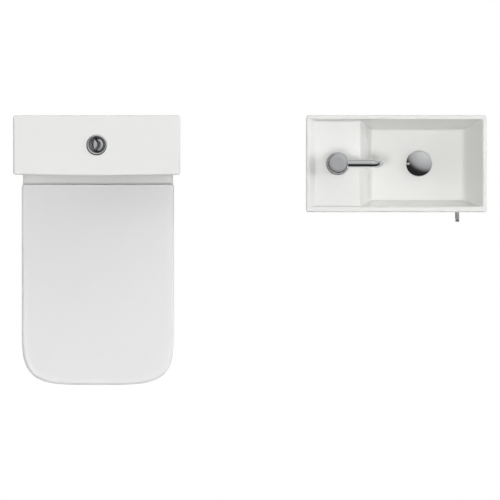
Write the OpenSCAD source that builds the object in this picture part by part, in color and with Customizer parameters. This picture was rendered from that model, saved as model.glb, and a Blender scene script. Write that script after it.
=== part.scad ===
// Cloakroom set: a close-coupled toilet and, standing apart from it, a small vanity unit with a
// side-deck basin.
// Millimetres. +Z is up, +Y is towards the wall and X runs along the wall.
// The origin is on the floor, under the centre of the whole set.

/* [Layout] */
// Clear distance between the cistern lid and the basin
set_gap = 283; // [200:1:400]

/* [Toilet pan] */
// Height of the pan's rim and rear deck above the floor
pan_h = 400; // [390:1:450]
// How far each side of the pan stands in at its waist, measured from the rim
waist_in = 5.5; // [2:0.5:15]
// Height where the sides start to draw in
pan_waist_h = 250; // [200:1:300]
// How far each side stands in at the bend above the foot
knee_in = 21.5; // [15:0.5:30]
// Height of that bend
pan_knee_h = 110; // [80:1:140]
// How far each side stands in where the pan meets the floor
base_in = 45.5; // [25:0.5:55]
// How much shorter the foot is than the rim, at the front
pan_base_setback = 90; // [40:1:120]
// Wall of the pan's outer skin
pan_wall = 13; // [10:1:16]
// Thickness of the rim and of the rear deck
deck_t = 22; // [20:1:26]
// Half width of the bowl's opening
bowl_hw = 118; // [105:1:122]
// Half length of the bowl's opening
bowl_hl = 167; // [150:1:170]
// Width of the rim in front of the bowl's opening
bowl_front_rim = 43; // [38:1:60]
// Wall of the bowl and of the trapway
bowl_wall = 11; // [9:1:13]
// Radius of the sump at the bottom of the bowl
sump_r = 48; // [44:1:52]
// Height of the sump's floor
sump_floor = 86; // [80:1:100]
// Height where the bowl runs into the sump
sump_top = 235; // [225:1:250]
// Radius of the throat that leaves the sump
throat_r = 34; // [30:1:36]
// Radius of the riser behind the throat
riser_r = 36; // [34:1:38]
// Ceramic between the sump and the riser
trap_web = 24; // [20:1:28]
// Radius of the passage over the weir
weir_r = 38; // [36:1:40]
// Height of the weir passage's centre
weir_z = 232; // [226:1:240]
// Height of the soil outlet's centre
outlet_z = 180; // [175:1:190]
// Outer radius of the soil outlet
outlet_r = 51; // [50:0.5:55]
// Wall of the soil outlet
outlet_wall = 6; // [5:0.5:8]
// Distance from the wall to the end of the soil outlet
outlet_gap = 45; // [40:1:60]
// Length of the spigot at the end of the soil outlet
spigot_l = 75; // [60:5:85]
// Height of the two side fixing screws
pan_fix_z = 40; // [30:1:60]
// Distance of the side fixing screws from the wall
pan_fix_back = 300; // [240:1:340]

/* [Cistern] */
// Width of the cistern lid
lid_w = 376; // [370:1:400]
// Depth of the cistern lid from the wall to its front edge
lid_d = 136; // [132:1:160]
// Height of the cistern lid
lid_h = 30; // [26:1:40]
// How far the lid's front edge bows forward in the middle
lid_bow = 2.2; // [1:0.1:4]
// How far the lid stands out beyond the tank
lid_overhang = 4; // [3:1:6]
// Thickness of the lid's top plate
lid_plate = 16; // [14:1:18]
// Wall of the lid's rim
lid_rim = 9; // [7:1:10]
// Height of the tank without its lid
tank_h = 385; // [370:1:410]
// Wall of the tank
tank_wall = 10; // [8:1:12]
// Thickness of the tank's floor
tank_floor = 14; // [12:1:16]
// Distance between the two bolts that hold the tank to the deck
tank_bolt_span = 150; // [140:1:160]
// Distance between the two wall screw holes in the tank's back
tank_wall_span = 200; // [160:1:240]
// Depth of the wall screw holes below the tank's top edge
tank_wall_drop = 45; // [35:1:60]
// Visible strip of deck between the cistern lid and the seat
deck_strip = 19; // [17:1:30]

/* [Flush button and valve] */
// Distance from the wall to the centre of the flush button and valve
button_back = 67; // [65:1:70]
// Radius of the round bezel
bezel_r = 24; // [23:0.5:26]
// Height of the bezel above the lid
bezel_h = 3; // [2:0.5:4]
// Radius of the well that the buttons sit in
well_r = 17; // [16.5:0.1:17.5]
// Radius of the bezel's threaded neck
neck_r = 19.5; // [19:0.1:20.5]
// Half width of the lens-shaped half-flush button
half_hw = 7.9; // [7:0.1:8.5]
// Half height of the lens-shaped half-flush button
half_hh = 14; // [12:0.1:14.5]
// Offset of the half-flush button from the bezel's centre
half_off = 4.8; // [4.5:0.1:5.5]
// Thickness of both buttons
button_t = 5; // [4:0.5:5.5]
// Travel of both buttons
button_travel = 6; // [5:0.5:6]
// Radius of the push rods
rod_r = 3.2; // [2.5:0.1:3.3]
// Radius of the flush valve's threaded tail
valve_tail_r = 29; // [28:0.5:30]
// Radius of the flush valve's flange
valve_flange_r = 40; // [38:0.5:42]
// Radius of the flush valve's tower
tower_r = 18; // [17:0.5:20]
// Radius of the overflow tube
overflow_r = 13; // [11:0.5:14]
// Lift of the flush valve's seal
valve_lift = 20; // [15:1:20]

/* [Fill valve] */
// Distance of the fill valve from the toilet's centre line
fill_off = 125; // [120:1:130]
// Outer radius of the threaded inlet tail
inlet_r = 10.4; // [10:0.1:10.6]
// Length of the inlet tail below the tank's floor
inlet_l = 38; // [34:1:45]
// Width of the float along its arm
float_w = 47; // [40:1:48]
// Depth of the float across its arm
float_d = 56; // [40:1:60]
// Height of the float
float_h = 38; // [30:1:40]

/* [Seat] */
// Width of the seat lid
seat_w = 345; // [335:1:360]
// How far the lid stands out beyond the pan's rim at each side
seat_side = 2; // [1:0.5:4]
// Length of the seat lid from its rear edge to its front
seat_l = 454; // [440:1:470]
// Length of the rounded nose in front of the straight sides
nose_l = 146; // [110:1:170]
// Squareness of the nose: 2 is an ellipse, higher is squarer
nose_n = 4.3; // [3:0.1:5.5]
// Height of the buffers under the seat ring
ring_rise = 6; // [5:0.5:8]
// Thickness of the seat ring
ring_t = 16; // [14:0.5:18]
// Gap between the seat ring and the lid
lid_rise = 2; // [1.5:0.5:3]
// Thickness of the seat lid over its rim
cover_t = 16; // [14:0.5:18]
// Thickness of the seat lid's top skin
cover_skin = 7; // [5:0.5:7]
// Half width of the opening in the ring
ring_open_hw = 105; // [95:1:110]
// Half length of the opening in the ring
ring_open_hl = 157; // [140:1:160]
// Distance between the two seat hinges
hinge_span = 155; // [150:1:170]
// Distance of the hinge axis in front of the lid's rear edge
hinge_inset = 16; // [14:0.5:18]
// Radius of the hinge barrels and lugs
barrel_r = 8; // [7:0.1:8]
// Radius of the hinge pins
seat_pin_r = 4; // [3.5:0.1:4.5]

/* [Basin] */
// Width of the basin
basin_w = 406; // [396:1:440]
// Depth of the basin from the wall to its front
basin_d = 218; // [212:1:240]
// Height of the basin block
basin_h = 120; // [112:1:150]
// Width of the rim at the back and sides
rim_w = 9; // [7:0.5:10]
// Width of the rim at the front
front_rim_w = 12; // [10:0.5:14]
// Drop from the rim to the tap deck
deck_drop = 12; // [10:0.5:14]
// Width from the basin's left edge to the end of the tap deck
deck_w = 121; // [118:1:124]
// Depth of the bowl below the rim
bowl_depth = 95; // [80:1:98]
// Run of the slope from the tap deck down to the bowl's floor
ramp_run = 24; // [20:1:30]
// Run of the bowl's right wall from rim to floor
right_run = 40; // [34:1:46]
// Run of the bowl's back wall from rim to floor
back_run = 22; // [18:1:26]
// Run of the bowl's front wall from rim to floor
front_run = 14; // [10:1:18]
// Wall around the hollow under the tap deck
basin_wall = 14; // [12:1:16]
// Distance from the basin's left edge to the tap
tap_from_left = 71; // [66:1:76]
// Distance from the basin's left edge to the waste
waste_from_left = 254; // [244:1:264]

/* [Tap] */
// Radius of the tap's foot
tap_foot_r = 26; // [25:0.5:28]
// Radius of the tap's body and control knob
tap_r = 23; // [22:0.5:24]
// Height of the tap's body above the deck
tap_h = 93; // [88:1:120]
// Height of the control knob
knob_h = 18; // [16:0.5:24]
// Width and height of the bevel round the knob's top
knob_bevel = 2.8; // [2:0.1:4]
// Radius of the spout tube
spout_r = 9.5; // [9:0.1:10]
// Height of the spout's centre above the deck
spout_z = 60; // [54:1:62]
// Reach from the tap's axis to the middle of the outlet
spout_reach = 93; // [85:1:110]
// Radius of the spout's bend at its centre line
bend_r = 19; // [16:1:22]
// Length of the spout's straight nozzle below the bend
nozzle_l = 6; // [4:0.5:8]
// Height of the aerator under the nozzle
aerator_h = 6; // [4:0.5:8]

/* [Waste and trap] */
// Radius of the domed waste plug
plug_r = 29.5; // [29:0.5:32]
// Height of the plug's dome
plug_dome = 6; // [4:0.5:9]
// Travel of the plug from open to shut
plug_travel = 8; // [6:0.5:8]
// Radius of the waste's threaded tube
waste_r = 20.9; // [20:0.1:21]
// Length of the waste's tube under the basin
waste_l = 55; // [50:1:70]
// Outer radius of the trap's bottle
bottle_r = 33; // [30:1:36]
// Height of the trap's bottle
bottle_h = 90; // [80:1:110]
// Radius of the trap's outlet pipe
trap_pipe_r = 16; // [15:0.5:16]

/* [Cabinet] */
// Height of the cabinet from the floor to the basin
cabinet_h = 730; // [700:1:760]
// How far the basin stands out beyond each side of the cabinet
side_inset = 8; // [7:1:9]
// Thickness of the carcass panels
panel_t = 16; // [15:1:18]
// Thickness of the door
door_t = 18; // [16:1:20]
// How far the basin's front stands out beyond the door
door_inset = 6; // [4:1:8]
// Height of the plinth, from the floor to the cabinet's floor panel
plinth_h = 80; // [70:1:100]
// How far the plinth stands back behind the door
plinth_setback = 50; // [30:1:60]
// Height of the shelf above the floor
shelf_z = 350; // [300:1:400]
// Height of the nylon glides under the side panels
glide_h = 5; // [3:1:8]
// Height of the rear top rail
rail_h = 80; // [60:1:85]

/* [Door handle and hinges] */
// Distance from the basin's right edge to the middle of the handle
handle_from_right = 64; // [60:1:80]
// Length of the handle
handle_l = 168; // [140:1:200]
// Width and thickness of the handle's bar
handle_t = 8; // [7:0.5:10]
// How far the handle stands out from the door
handle_out = 28; // [25:1:32]
// Depth of the handle's top end below the basin
handle_drop = 60; // [40:1:90]
// Radius of the door hinges' knuckles
knuckle_r = 3; // [2.5:0.1:3.2]
// Radius of the door hinges' pins
door_pin_r = 1.5; // [1.2:0.1:1.6]
// Height of each door hinge
leaf_h = 50; // [40:1:60]
// Thickness of the hinge leaves
leaf_t = 1.5; // [1.2:0.1:1.8]
// Distance of the hinges from the door's top and bottom
hinge_margin = 70; // [60:1:100]

/* [Hidden] */
$fn = 96;

// Facets of the rounded corners inside a hull
hull_fn = 32;
// Straight steps round a seat or pan outline
outline_steps = 40;
// Thin slices that a hull joins
slice = 1;
// Overshoot of a cut beyond the face that it opens
cut = 1;
// Running clearance round a pin that turns
pin_gap = 0.06;
// Clearance of a thread in its nut
thread_gap = 0.05;

// Places that follow from the sizes
wc_d = lid_d + deck_strip + seat_l;
set_w = lid_w + set_gap + basin_w;
wc_x = -set_w / 2 + lid_w / 2;
vanity_x = set_w / 2 - basin_w / 2;
wall_y = wc_d / 2;

module at_wc() {
  translate([wc_x, wall_y, 0]) children();
}
module at_vanity() {
  translate([vanity_x, wall_y, 0]) children();
}

// A box given by its two corners on each axis
module block(x0, x1, y0, y1, z0, z1) {
  translate([x0, y0, z0]) cube([x1 - x0, y1 - y0, z1 - z0]);
}
// The same with its four upright edges rounded
module rounded_block(x0, x1, y0, y1, z0, z1, r) {
  block(x0 + r, x1 - r, y0, y1, z0, z1);
  block(x0, x1, y0 + r, y1 - r, z0, z1);
  for (x = [x0 + r, x1 - r])
    for (y = [y0 + r, y1 - r])
      translate([x, y, z0]) cylinder(r = r, h = z1 - z0);
}
// A cylinder that lies along +Y
module rod_y(r, l) {
  rotate([-90, 0, 0]) cylinder(r = r, h = l);
}
// A cylinder that lies along +X
module rod_x(r, l) {
  rotate([0, 90, 0]) cylinder(r = r, h = l);
}
module tube(r_out, r_in, h) {
  difference() {
    cylinder(r = r_out, h = h);
    translate([0, 0, -cut]) cylinder(r = r_in, h = h + 2 * cut);
  }
}
// A six-sided nut with a true round bore
module hex_nut(r_out, r_bore, h) {
  difference() {
    cylinder(r = r_out, h = h, $fn = 6);
    translate([0, 0, -cut]) cylinder(r = r_bore, h = h + 2 * cut);
  }
}
function signed_pow(v, p) = sign(v) * pow(abs(v), p);
// Half a superellipse from +X round the front to -X
function nose_points(hw, b, n) = [
  for (i = [0:outline_steps])
    let (t = 180 * i / outline_steps)
      [hw * signed_pow(cos(t), 2 / n), -b * signed_pow(sin(t), 2 / n)]
];
// A quarter round that ends at angle a1
function corner_points(x, y, r, a0, a1) = [
  for (i = [0:4])
    let (a = a0 + (a1 - a0) * i / 4)
      [x + r * cos(a), y + r * sin(a)]
];
// A D-shaped outline: rear edge on Y = 0, straight sides and a squarish nose in front
function d_points(hw, len, b, n, r) = concat(
  corner_points(hw - r, -r, r, 90, 0),
  [for (p = nose_points(hw, b, n)) [p[0], p[1] - len + b]],
  corner_points(-hw + r, -r, r, 180, 90)
);
module d_plate(hw, len, b, n, r, h) {
  linear_extrude(h) polygon(d_points(hw, len, b, n, r));
}
// A full superellipse, for the openings
function oval_points(hw, hl, n) = [
  for (i = [0:2 * outline_steps - 1])
    let (t = 180 * i / outline_steps)
      [hw * signed_pow(cos(t), 2 / n), hl * signed_pow(sin(t), 2 / n)]
];
opening_n = 2.5;
rear_corner_r = 5;

// Toilet pan
pan_back = lid_overhang;
seat_overhang = 6;
pan_l = wc_d - seat_overhang - pan_back;
pan_w = seat_w - 2 * seat_side;
pan_waist_w = pan_w - 2 * waist_in;
pan_knee_w = pan_w - 2 * knee_in;
pan_base_w = pan_w - 2 * base_in;
sump_back = 57;
weir_run = 85;
bowl_y = -(wc_d - seat_overhang - bowl_front_rim - bowl_hl);
sump_y = bowl_y + sump_back;
riser_y = sump_y + sump_r + riser_r + trap_web;
throat_z = sump_floor + throat_r + 2;
weir_end_y = riser_y + weir_run;
weir_reach = 3;
outlet_start_y = riser_y + riser_r + bowl_wall;
// Small step between the faceted bowl and the round sump
sump_step = 2.5;
// The flush water's way: a recess for the gasket, a drop and a duct to the bowl
spigot_step = 2.5;
gasket_recess_r = 48;
valve_nut_h = 10;
gasket_h = 8;
gasket_recess = valve_nut_h + gasket_h;
flush_hole_r = 26;
flush_duct_r = 16;
flush_duct_z = pan_h - deck_t - flush_duct_r - bowl_wall - 1;
// Ceramic under the gasket's recess
boss_t = 8;
flush_box_floor = flush_duct_z - flush_duct_r - 2;
tank_bolt_hole_r = 6;
inlet_room_r = 24;
seat_bolt_r = 4;
seat_hole_r = 6.5;
hinge_y = -(lid_d + deck_strip + hinge_inset);
hinge_h = ring_rise + ring_t + lid_rise;
hinge_z = pan_h + hinge_h;
pan_screw_r = 2.5;
pan_screw_gap = 0.5;
cap_r = 8.5;
cap_t = 3;
cap_recess = 6;
cap_gap = 0.3;
bracket_h = 60;
bracket_w = 30;
bracket_d = 44;
// Lean of the pan's side between the floor and the bend, sideways per millimetre of height
side_lean = (pan_knee_w - pan_base_w) / 2 / pan_knee_h;
function side_x(z) = pan_base_w / 2 + side_lean * z;

module pan_slice(w, len, back, z) {
  translate([0, back, z]) d_plate(w / 2, len, nose_l - 20, nose_n - 0.8, rear_corner_r, slice);
}
// The pan's outer form, or with an inset the hollow inside its skin
module pan_form(inset, back, z_low, z_high) {
  len = pan_l - inset + back + pan_back;
  hull() {
    pan_slice(pan_base_w - 2 * inset, len - pan_base_setback, back, z_low);
    pan_slice(pan_knee_w - 2 * inset, len - pan_base_setback / 2.2, back, pan_knee_h);
    pan_slice(pan_waist_w - 2 * inset, len - pan_base_setback / 6, back, pan_waist_h);
    pan_slice(pan_w - 2 * inset, len, back, z_high - slice);
  }
}
module bowl_form(wall, top) {
  hull() {
    translate([0, bowl_y, top - slice])
      linear_extrude(slice) polygon(oval_points(bowl_hw + wall, bowl_hl + wall, opening_n));
    translate([0, sump_y, sump_top]) cylinder(r = sump_r + wall - sump_step, h = slice, $fn = hull_fn);
  }
}
// Sump, throat, riser and weir, as bores or with a wall as the tubes round them
module trapway(wall) {
  translate([0, sump_y, sump_floor - wall])
    cylinder(r = sump_r + wall, h = sump_top - sump_floor + wall + slice / 2);
  translate([0, sump_y, throat_z]) rod_y(throat_r + wall, riser_y - sump_y);
  translate([0, riser_y, sump_floor - wall]) cylinder(r = riser_r + wall, h = weir_z - sump_floor + wall);
  translate([0, riser_y - riser_r - weir_reach - wall, weir_z])
    rod_y(weir_r + wall, weir_end_y - riser_y + riser_r + weir_reach + 2 * wall);
}
// Outer skin, rim and rear deck
module pan() {
  color("white")
    at_wc()
      difference() {
        pan_form(0, -pan_back, 0, pan_h);
        pan_form(pan_wall, cut - pan_back, -cut, pan_h - deck_t);
        bowl_form(0, pan_h + cut);
        translate([0, -button_back, pan_h - gasket_recess])
          cylinder(r = gasket_recess_r, h = gasket_recess + cut);
        translate([0, -button_back, flush_box_floor])
          cylinder(r = flush_hole_r, h = pan_h - flush_box_floor);
        for (s = [-1, 1]) {
          translate([s * tank_bolt_span / 2, -button_back, pan_h - deck_t - cut])
            cylinder(r = tank_bolt_hole_r, h = deck_t + 2 * cut);
          translate([s * hinge_span / 2, hinge_y, pan_h - deck_t - cut])
            cylinder(r = seat_hole_r, h = deck_t + 2 * cut);
          translate([s * side_x(pan_fix_z), -pan_fix_back, pan_fix_z]) {
            rotate([0, 90 * s, 0])
              translate([0, 0, -cap_recess]) cylinder(r = cap_r + cap_gap, h = 3 * cap_recess);
            rotate([0, -90 * s, 0]) cylinder(r = pan_screw_r + pan_screw_gap, h = 3 * pan_wall);
          }
        }
        translate([-fill_off, -button_back, pan_h - deck_t - cut])
          cylinder(r = inlet_room_r, h = deck_t + 2 * cut);
      }
}
// Bowl, trapway, soil outlet and the way of the flush water, all under the deck and of one piece with it
module pan_waterways() {
  duct_start = bowl_y + bowl_hl - bowl_wall;
  color("white")
    at_wc()
      difference() {
        union() {
          bowl_form(bowl_wall, pan_h - deck_t);
          trapway(bowl_wall);
          translate([0, outlet_start_y - bowl_wall, outlet_z])
            rod_y(outlet_r - spigot_step, -outlet_gap - outlet_start_y + bowl_wall);
          translate([0, -outlet_gap - spigot_l, outlet_z]) rod_y(outlet_r, spigot_l);
          translate([0, -button_back, flush_box_floor - bowl_wall])
            cylinder(r = flush_hole_r + bowl_wall, h = pan_h - deck_t - flush_box_floor + bowl_wall);
          translate([0, -button_back, pan_h - deck_t - boss_t])
            cylinder(r = gasket_recess_r + bowl_wall / 2, h = boss_t);
          translate([0, duct_start, flush_duct_z])
            rod_y(flush_duct_r + bowl_wall, -button_back - duct_start);
        }
        bowl_form(0, pan_h + cut);
        trapway(0);
        translate([0, outlet_start_y, outlet_z])
          rod_y(outlet_r - outlet_wall, cut - outlet_gap - outlet_start_y);
        translate([0, -button_back, flush_box_floor])
          cylinder(r = flush_hole_r, h = pan_h - flush_box_floor);
        translate([0, duct_start - bowl_wall, flush_duct_z])
          rod_y(flush_duct_r, -button_back - duct_start + bowl_wall);
      }
}
// Plastic blocks that are screwed to the floor inside the skirt, one on each side
bracket_gap = 0.5;
floor_hole_r = 3.5;
floor_hole_in = 18;
module pan_bracket_profile() {
  polygon([
    [-bracket_w, 0],
    [0, 0],
    [side_lean * bracket_h, bracket_h],
    [side_lean * bracket_h - bracket_w / 3, bracket_h],
    [-bracket_w / 4, bracket_h / 3],
    [-bracket_w, bracket_h / 5]
  ]);
}
bracket_x = pan_base_w / 2 - pan_wall * sqrt(1 + side_lean * side_lean) - bracket_gap;
module pan_brackets() {
  color("gainsboro")
    at_wc()
      for (s = [0, 1])
        mirror([s, 0, 0])
          difference() {
            translate([bracket_x, bracket_d / 2 - pan_fix_back, 0])
              rotate([90, 0, 0]) linear_extrude(bracket_d) pan_bracket_profile();
            translate([bracket_x - floor_hole_in, -pan_fix_back, -cut])
              cylinder(r = floor_hole_r, h = bracket_h);
            translate([bracket_x - bracket_w, -pan_fix_back, pan_fix_z])
              rod_x(pan_screw_r + thread_gap, 3 * bracket_w);
          }
}
pan_head_r = 5;
pan_head_t = 2.5;
pan_screw_l = 32;
module pan_screws() {
  color("silver")
    at_wc()
      for (s = [0, 1])
        mirror([s, 0, 0])
          translate([side_x(pan_fix_z) - cap_recess, -pan_fix_back, pan_fix_z]) {
            rod_x(pan_head_r, pan_head_t);
            translate([-pan_screw_l, 0, 0]) rod_x(pan_screw_r, pan_screw_l);
          }
}
module pan_screw_caps() {
  color("white")
    at_wc()
      for (s = [0, 1])
        mirror([s, 0, 0])
          translate([side_x(pan_fix_z) - cap_recess, -pan_fix_back, pan_fix_z])
            difference() {
              rod_x(cap_r, pan_head_t + cap_t);
              translate([-cut, 0, 0]) rod_x(pan_head_r + thread_gap, pan_head_t + cut);
            }
}

// Cistern
tank_w = lid_w - 2 * lid_overhang;
tank_d = lid_d - 2 * lid_overhang;
tank_r = 14;
tank_in_r = 8;
tank_z0 = pan_h;
tank_in_z = tank_z0 + tank_floor;
tank_top = tank_z0 + tank_h;
lid_top = tank_top + lid_h;
valve_hole_r = valve_tail_r + 1.5;
inlet_step = 0.4;
inlet_hole_r = inlet_r + inlet_step + 0.7;
wall_hole_r = 4;
module cistern() {
  color("white")
    at_wc()
      difference() {
        rounded_block(-tank_w / 2, tank_w / 2, -lid_overhang - tank_d, -lid_overhang, tank_z0,
          tank_top, tank_r);
        rounded_block(-tank_w / 2 + tank_wall, tank_w / 2 - tank_wall,
          -lid_overhang - tank_d + tank_wall,
          -lid_overhang - tank_wall, tank_in_z, tank_top + cut, tank_in_r);
        translate([0, -button_back, tank_z0 - cut])
          cylinder(r = valve_hole_r, h = tank_floor + 2 * cut);
        translate([-fill_off, -button_back, tank_z0 - cut])
          cylinder(r = inlet_hole_r, h = tank_floor + 2 * cut);
        for (s = [-1, 1]) {
          translate([s * tank_bolt_span / 2, -button_back, tank_z0 - cut])
            cylinder(r = tank_bolt_hole_r, h = tank_floor + 2 * cut);
          translate([s * tank_wall_span / 2, -lid_overhang - tank_wall - cut,
            tank_top - tank_wall_drop])
            rod_y(wall_hole_r, tank_wall + 2 * cut);
        }
      }
}
// Radius of the arc that gives the lid's front edge its bow
lid_arc_r = (lid_w * lid_w / 4 + lid_bow * lid_bow) / (2 * lid_bow);
lid_corner_r = 6;
lid_hole_r = neck_r + 0.5;
rib_t = 4;
rib_l = 200;
rib_drop = 8;
rib_gap = 2;
module cistern_lid() {
  color("white")
    at_wc()
      difference() {
        union() {
          intersection() {
            difference() {
              rounded_block(-lid_w / 2, lid_w / 2, -lid_d, 0, tank_top, lid_top,
                lid_corner_r);
              rounded_block(-lid_w / 2 + lid_rim, lid_w / 2 - lid_rim, -lid_d + lid_rim,
                -lid_rim,
                tank_top - cut, lid_top - lid_plate, tank_in_r);
            }
            translate([0, lid_arc_r - lid_d, tank_top - 2 * cut])
              cylinder(r = lid_arc_r, h = lid_h + 4 * cut, $fn = 360);
          }
          for (y = [-lid_overhang - tank_wall - rib_gap - rib_t,
            -lid_d + lid_overhang + tank_wall + rib_gap])
            block(-rib_l / 2, rib_l / 2, y, y + rib_t, tank_top - rib_drop,
              lid_top - lid_plate + cut);
        }
        translate([0, -button_back, tank_top]) cylinder(r = lid_hole_r, h = lid_h + cut);
      }
}
// Bolts with rubber washers under their heads and wing nuts below the deck
tank_bolt_r = 4;
bolt_head_r = 9;
bolt_head_t = 5;
bolt_washer_t = 3;
bolt_washer_r = 13;
wing_h = 12;
wing_r = 8;
wing_span = 19;
wing_t = 3;
bolt_tail = 6;
module tank_bolt_places() {
  at_wc()
    for (s = [-1, 1])
      translate([s * tank_bolt_span / 2, -button_back, 0]) children();
}
module cistern_bolts() {
  color("silver")
    tank_bolt_places()
      difference() {
        union() {
          translate([0, 0, tank_in_z + bolt_washer_t]) cylinder(r = bolt_head_r, h = bolt_head_t);
          translate([0, 0, pan_h - deck_t - wing_h - bolt_tail])
            cylinder(r = tank_bolt_r,
              h = deck_t + tank_floor + bolt_washer_t + wing_h + bolt_tail + cut);
        }
        block(-1, 1, -bolt_head_r - cut, bolt_head_r + cut,
          tank_in_z + bolt_washer_t + bolt_head_t - 2,
          tank_in_z + bolt_washer_t + bolt_head_t + cut);
      }
}
module cistern_wing_nuts() {
  color("gold")
    tank_bolt_places()
      translate([0, 0, pan_h - deck_t - wing_h])
        difference() {
          union() {
            cylinder(r = wing_r, h = wing_h);
            block(-wing_span, wing_span, -wing_t / 2, wing_t / 2, 0, wing_h - 2);
          }
          translate([0, 0, -cut]) cylinder(r = tank_bolt_r + thread_gap, h = wing_h + 2 * cut);
        }
}
module coupling_gasket() {
  color("dimgray")
    at_wc()
      translate([0, -button_back, pan_h - gasket_recess])
        tube(gasket_recess_r - 2, valve_tail_r + 1, gasket_h);
}

// Flush button in the lid
bezel_floor_t = 2;
bezel_floor_z = lid_top - bezel_floor_t - button_travel - button_t + 0.5;
bezel_nut_t = 6;
neck_l = lid_plate + bezel_nut_t + 3;
button_top = lid_top + 1.5;
button_low = button_top - button_t;
lens_r = (half_hh * half_hh + half_hw * half_hw) / (2 * half_hw);
lens_shift = lens_r - half_hw;
button_gap = 0.4;
split_gap = 1.6;
split_x = -3;
rod_gap = 0.4;
full_rod_x = (lens_r + split_gap - lens_shift - half_off + well_r) / 2;
module at_button() {
  at_wc() translate([0, -button_back, 0]) children();
}
module flush_bezel() {
  color("silver")
    at_button()
      difference() {
        union() {
          translate([0, 0, lid_top]) cylinder(r1 = bezel_r, r2 = bezel_r - 1.5, h = bezel_h);
          translate([0, 0, lid_top - neck_l]) cylinder(r = neck_r, h = neck_l + cut);
        }
        difference() {
          translate([0, 0, bezel_floor_z])
            cylinder(r = well_r, h = bezel_h + lid_top - bezel_floor_z + cut);
          translate([0, 0, bezel_floor_z - cut])
            difference() {
              cylinder(r = well_r + cut, h = lid_top - bezel_floor_z + cut);
              translate([lens_shift - half_off, 0, -cut])
                cylinder(r = lens_r + button_gap, h = lid_top - bezel_floor_z + 4 * cut);
              block(split_x, 2 * well_r, -2 * well_r, 2 * well_r, -cut, lid_h);
            }
        }
        translate([0, 0, lid_top - neck_l - cut])
          cylinder(r = well_r, h = bezel_floor_z - bezel_floor_t - lid_top + neck_l + cut);
        for (x = [-half_off, full_rod_x])
          translate([x, 0, bezel_floor_z - 2 * bezel_floor_t])
            cylinder(r = rod_r + rod_gap, h = 3 * bezel_floor_t);
      }
}
module bezel_nut() {
  color("whitesmoke")
    at_button()
      translate([0, 0, lid_top - lid_plate - bezel_nut_t])
        hex_nut(bezel_r + 5, neck_r + thread_gap, bezel_nut_t);
}
module half_flush_button() {
  color("silver")
    at_button()
      intersection() {
        translate([-lens_shift - half_off, 0, button_low]) cylinder(r = lens_r, h = button_t);
        translate([lens_shift - half_off, 0, button_low]) cylinder(r = lens_r, h = button_t);
      }
}
module full_flush_button() {
  color("silver")
    at_button()
      difference() {
        translate([0, 0, button_low]) cylinder(r = well_r - button_gap, h = button_t);
        translate([-lens_shift - half_off, 0, button_low - cut])
          cylinder(r = lens_r + split_gap, h = button_t + 2 * cut);
        block(-2 * well_r, split_x + button_gap, -2 * well_r, 2 * well_r, button_low - cut,
          button_top + cut);
      }
}
// Flush valve in the tank
valve_washer_t = 3;
valve_flange_t = 5;
seat_lip_t = 3;
valve_wall = 5;
valve_z = tank_in_z + valve_washer_t;
seal_z = valve_z + valve_flange_t + seat_lip_t;
seal_t = 3;
seal_r = valve_tail_r - 0.5;
disc_t = 4;
cage_h = 92;
post_r = 3;
cage_top = valve_z + valve_flange_t + cage_h;
cage_ring_t = 6;
head_z = tank_top - 40;
head_h = 34;
head_r = tower_r + 5;
rod_depth = 14;
overflow_wall = 2;
guide_gap = 1;
window_w = 14;
module push_rod(x) {
  color("gainsboro")
    at_button()
      translate([x, 0, head_z - rod_depth]) cylinder(r = rod_r, h = button_low - head_z + rod_depth);
}
module half_push_rod() {
  push_rod(-half_off);
}
module full_push_rod() {
  push_rod(full_rod_x);
}
module flush_valve_body() {
  color("deepskyblue")
    at_button()
      difference() {
        union() {
          translate([0, 0, valve_z]) cylinder(r = valve_flange_r, h = valve_flange_t);
          translate([0, 0, seal_z - seat_lip_t - cut])
            cylinder(r = valve_tail_r - 1, h = seat_lip_t + cut);
          translate([0, 0, tank_z0 - valve_nut_h - 3])
            cylinder(r = valve_tail_r, h = valve_z - tank_z0 + valve_nut_h + 3 + cut);
          for (a = [45:90:315])
            rotate([0, 0, a])
              translate([valve_flange_r - 2 * post_r + 1, 0, valve_z + valve_flange_t - cut])
                cylinder(r = post_r, h = cage_h + 2 * cut);
          translate([0, 0, cage_top]) cylinder(r = valve_flange_r - 1, h = cage_ring_t);
          translate([0, 0, cage_top]) cylinder(r = tower_r, h = head_z - cage_top);
          translate([0, 0, head_z - head_h]) cylinder(r = head_r, h = head_h);
        }
        translate([0, 0, tank_z0 - valve_nut_h - 3 - cut])
          cylinder(r = valve_tail_r - valve_wall,
            h = seal_z - tank_z0 + valve_nut_h + 3 + 2 * cut);
        translate([0, 0, cage_top - cut])
          cylinder(r = overflow_r + guide_gap, h = head_z - head_h - cage_top + cut);
        block(-2 * tower_r, 2 * tower_r, -window_w / 2, window_w / 2, overflow_top - valve_lift,
          head_z - head_h - window_w / 2);
        for (x = [-half_off, full_rod_x])
          translate([x, 0, head_z - rod_depth - button_travel - valve_wall])
            cylinder(r = rod_r + rod_gap, h = rod_depth + button_travel + valve_wall + cut);
      }
}
overflow_top = head_z - head_h - valve_lift - 8;
module flush_piston() {
  color("white")
    at_button()
      difference() {
        union() {
          translate([0, 0, seal_z + seal_t]) cylinder(r = seal_r - 1.5, h = disc_t);
          translate([0, 0, seal_z - cut])
            cylinder(r = overflow_r, h = overflow_top - seal_z + cut);
        }
        translate([0, 0, seal_z - 2 * cut])
          cylinder(r = overflow_r - overflow_wall, h = overflow_top - seal_z + 4 * cut);
      }
}
module flush_seal() {
  color("firebrick")
    at_button()
      translate([0, 0, seal_z]) tube(seal_r, overflow_r + thread_gap, seal_t);
}

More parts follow.
